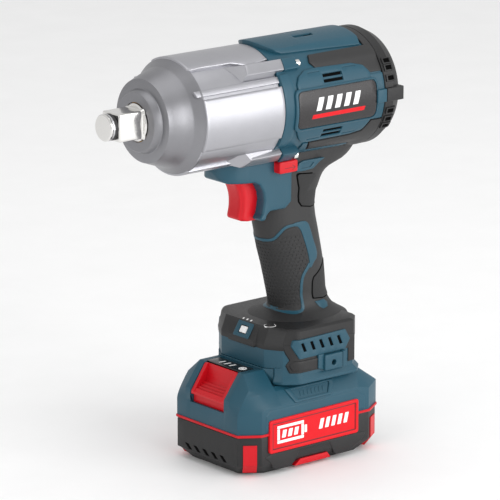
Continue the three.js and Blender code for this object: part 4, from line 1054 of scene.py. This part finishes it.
def latch_piece():
    latch = Solid()
    latch.slices([(-29.6, 49.0, 0.5), (-29.6, 51.2, 0.5), (-17.4, 69.1, 0.8), (-15.3, 69.1, 0.4),
                  (-15.3, 53, 0.4), (-24.5, 52.4, 0.4), (-24.5, 39, 0.3), (-27.3, 39, 0.3),
                  (-27.3, 48.7, 0.3)], ((-14.9, 0.25), (-15.1, 0.0), (-17.6, 0.0), (-17.9, 0.3)), 0.6, 4)
    latch.both()
    # Floor of the scoop, back wall, lip and skirt.
    floor = np.array(smooth([(-29.4, 49.4), (-29.3, 50.8), (-27, 52.0), (-23.4, 54.0), (-19.6, 56.0),
                             (-17.6, 58.0), (-16.9, 62), (-16.6, 66), (-16.2, 69.0)], 5))
    profile = np.vstack([floor, [(-15.3, 69.0), (-15.3, 53), (-24.5, 52.4), (-24.5, 39), (-27.3, 39),
                                 (-27.3, 48.7), (-29.2, 49.0)]])
    latch.loft([across(profile, y) for y in (-15.2, 15.2)])
    # Thumb ribs across the floor, each with a steep face to the rear.
    for k in range(4):
        x = -27.8 + 2.3 * k
        z = float(np.interp(x, floor[6:, 0], floor[6:, 1]))
        rib = [(x - 1.0, z - 1.2), (x - 0.9, z - 0.2), (x + 0.1, z + 1.7), (x + 0.5, z + 1.6),
               (x + 0.7, z - 1.0)]
        latch.loft([across(rib, y) for y in (-14.8, 14.8)])
    return latch


def gauge_marks():
    bars = [[(-11.6, y), (-6.2, y - 0.9), (-6.2, y + 0.7), (-11.6, y + 1.6)] for y in (8.6, 3.0, -2.6)]
    return Solid().plates(bars, plan, 70.02, 69.8, radius=0.3, bevel=0.03)


def gauge_key():
    """The round button of the charge display, with a ring and a plain dot."""
    steps = ((3.0, 66), (3.0, 69.95), (2.8, 70.15), (1.9, 70.15), (1.7, 69.9), (1.15, 69.9), (1.0, 70.1),
             (0.01, 70.1))
    return Solid().loft([level(polygon(-8.8, -13, r, 12), z) for r, z in steps])


def label_plate():
    window = dict(points=[(-7.8, 18.3), (67.8, 18.3), (67.8, 38), (-7.8, 37)], depth=0.55, radius=0.8)
    return Solid().panel([(-10.4, 15.9), (70.3, 15.9), (70.3, 40.4), (-10.4, 39.4)], side, 44.4, 42,
                         radius=2.2, bevel=(0.6, 0.6), rings=4, pockets=(window,)).both()


def label_marks():
    """A plain battery symbol and slanted bars in place of lettering."""
    marks = [rect(-3.4, 22, 20.4, 24), rect(-3.4, 32.6, 20.4, 34.6), rect(-3.4, 24.3, -1.2, 32.3),
             rect(18.2, 24.3, 20.4, 32.3), rect(21, 25.6, 23.2, 31)]
    marks += [[(x, 25.6), (x + 3.4, 25.6), (x + 4.6, 31), (x + 1.2, 31)] for x in (0.6, 6.0, 11.4)]
    marks += [[(x, 25.4), (x + 3.2, 25.4), (x + 5.0, 32.6), (x + 1.8, 32.6)]
              for x in (34, 39.6, 45.2, 50.8, 56.4)]
    return Solid().plates(marks, side, 44.05, 43.6, radius=0.3, bevel=0.04).both()


def label_rim_shade():
    """Painted shade: a dark line inside the label's raised rim, where the rim's inner wall shades the pocket.
    """
    ring = [(-7.4, 18.7), (67.4, 18.7), (67.4, 37.6), (-7.4, 36.6)]
    return Solid().plates([strip(ends, 0.8) for ends in zip(ring, ring[1:] + ring[:1])], side, 44.0, 43.6,
                          radius=0, bevel=0.03).both()


piece("battery_tray", battery_lower(), BLACK, body="battery", replaces=("battery_lower_case",), crease=26,
      bevel=0.5)
piece("battery_vent_shade", vent_shade(), SHADOW, body="battery")
piece("battery_inserts", battery_red(), RED, body="battery")
piece("battery_seal", gasket_rim(), RED, body="battery", replaces=("battery_gasket",))
piece("battery_shell", battery_upper(), TEAL, body="battery", replaces=("battery_upper_case",), crease=26,
      bevel=0.45)
piece("battery_side_pad", framed_pad(), TEAL, body="battery")
piece("latch_thumb_piece", latch_piece(), RED, body="battery_latch", replaces=("battery_latch",), crease=36)
gauge_face = Solid().panel(rect(-14.8, -19, -3.0, 19), plan, 69.95, 68.2, radius=0.6, bevel=0.2)
piece("gauge_face", gauge_face, DISPLAY, body="battery", replaces=("gauge_panel",))
piece("gauge_bars", gauge_marks(), WHITE, body="battery")
piece("gauge_key", gauge_key(), WHITE, body="gauge_button", replaces=("gauge_button",))
piece("label_plates", label_plate(), LABEL_RED, body="battery",
      replaces=("battery_label_left", "battery_label_right"))
piece("label_rim_shade", label_rim_shade(), GROOVE_SHADE, body="battery")
piece("label_bars", label_marks(), WHITE, body="battery")


# ---------------------------------------------------------------- drive end
def anvil_nose():
    """Square drive with its pilot, grooves and chamfered corners."""
    body = Solid()
    body.lathe([(-117.5, 0.01), (-117.5, 8.4), (-116.7, 9.2), (-116.1, 9.2), (-115.8, 8.0), (-110.6, 8.0),
                (-110.4, 9.0), (-108, 9.0), (-108, 0.01)], segments=72)
    half = SQUARE / 2
    square = Outline(rect(-half, -half, half, half), 1.8, 5)
    sections = ((-111.0, 0.9), (-110.4, 0.2), (-110.0, 0.0), (-92.6, 0.0), (-90.4, -1.2))
    body.loft([np.array([(x, y, AXIS_Z + z) for y, z in square.at(inward)]) for x, inward in sections])
    return body.lathe([(-91.6, 0.01), (-91.6, 12.0), (-90.6, 12.9), (-63, 12.9), (-63, 0.01)], segments=72)


def anvil_lugs():
    body = Solid()
    body.lathe([(-64, 0.01), (-64, 20), (-63.4, 21), (-55.6, 21), (-55, 20), (-55, 0.01)], segments=72)
    for middle in (0, 180):
        body.drum([(*corner, 0) for corner in rect(-63, middle - 19, -55, middle + 19)], 27.8, 15, bevel=0.4,
                  step=3)
    return body


piece("anvil_body", anvil_nose().include(anvil_lugs()), NICKEL, body="anvil", replaces=("anvil",), crease=26)

# The inner parts keep their CAD shape and take a procedural finish.
screws = [f"housing_screw_{number}" for number in (1, 2, 3, 4)] + ["cap_screw_left", "cap_screw_right"]
case_screws = [f"case_screw_{row}_{hand}" for row in ("upper", "lower") for hand in ("left", "right")]
FINISH = {
    STEEL: ("rotor_shaft", "spindle", "cam_ball_1", "cam_ball_2", "spring_washer", "hammer_spring",
            "trigger_spring", "latch_spring", "rear_bearing", "spindle_bearing", "friction_ring",
            *case_screws),
    DARK_STEEL: ("hammer", "planet_gear_1", "planet_gear_2", "planet_gear_3", "ring_gear", *screws),
    LAMINATE: ("stator_core", "rotor_core"),
    COPPER: ("stator_windings",),
    BRONZE: ("anvil_bushing",),
    CAST: ("gearbox_plate", "motor_controller"),
    BLACK: ("cooling_fan", "switch_body", "terminal_block", "mode_button"),
    RUBBER: ("o_ring",),
    SLEEVE: ("cell_pack",),
    BOARD: ("battery_board",),
}
for finish, names in FINISH.items():
    for name in names:
        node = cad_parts[name]
        node.data.materials.clear()
        node.data.materials.append(finish)


# ---------------------------------------------------------------- floor, light and camera
def floor():
    mesh = bpy.data.meshes.new("studio_floor")
    mesh.from_pydata([(x, y, 0) for x, y in rect(-6, -6, 6, 6)], [], [(0, 1, 2, 3)])
    mesh.materials.append(surface_material("pale_floor", (0.95, 0.95, 0.95), 0.6, variation=0.01, grain=60.0,
                                           bump=0.01))
    linked("studio_floor", mesh)


def area_light(name, place, size, power):
    """A rectangular lamp that faces the middle of the tool."""
    light = bpy.data.lights.new(name, "AREA")
    light.shape = "RECTANGLE"
    light.size, light.size_y = size
    light.energy = power
    made = linked(name, light)
    made.location = place
    made.rotation_euler = (Vector((0.0, 0.0, 0.16)) - Vector(place)).to_track_quat("-Z", "Y").to_euler()


def world_light(strength):
    world = bpy.data.worlds.new("studio")
    bpy.context.scene.world = world
    world.use_nodes = True
    background = world.node_tree.nodes["Background"]
    background.inputs["Color"].default_value = (1, 1, 1, 1)
    background.inputs["Strength"].default_value = strength


def camera():
    lens_data = bpy.data.cameras.new("camera")
    lens_data.sensor_width = 36
    lens_data.lens = 269.68
    lens_data.clip_end = 30
    made = linked("camera", lens_data)
    right = Vector((0.7710, -0.6368, 0.0)).normalized()
    back = Vector((-0.61604, -0.74584, 0.25341)).normalized()
    turn = Matrix((right, back.cross(right), back)).transposed().to_4x4()
    made.matrix_world = Matrix.Translation((-1.5796, -1.9228, 0.8021)) @ turn
    bpy.context.scene.camera = made


floor()
area_light("key", (0.6, -2.1, 0.75), (2.2, 1.5), 38)
area_light("top", (0.1, -0.1, 2.1), (1.8, 1.8), 9)
area_light("nose_fill", (-2.1, -0.5, 0.6), (1.0, 1.2), 7)
world_light(0.74)
bpy.context.scene.view_settings.view_transform = "Standard"
camera()
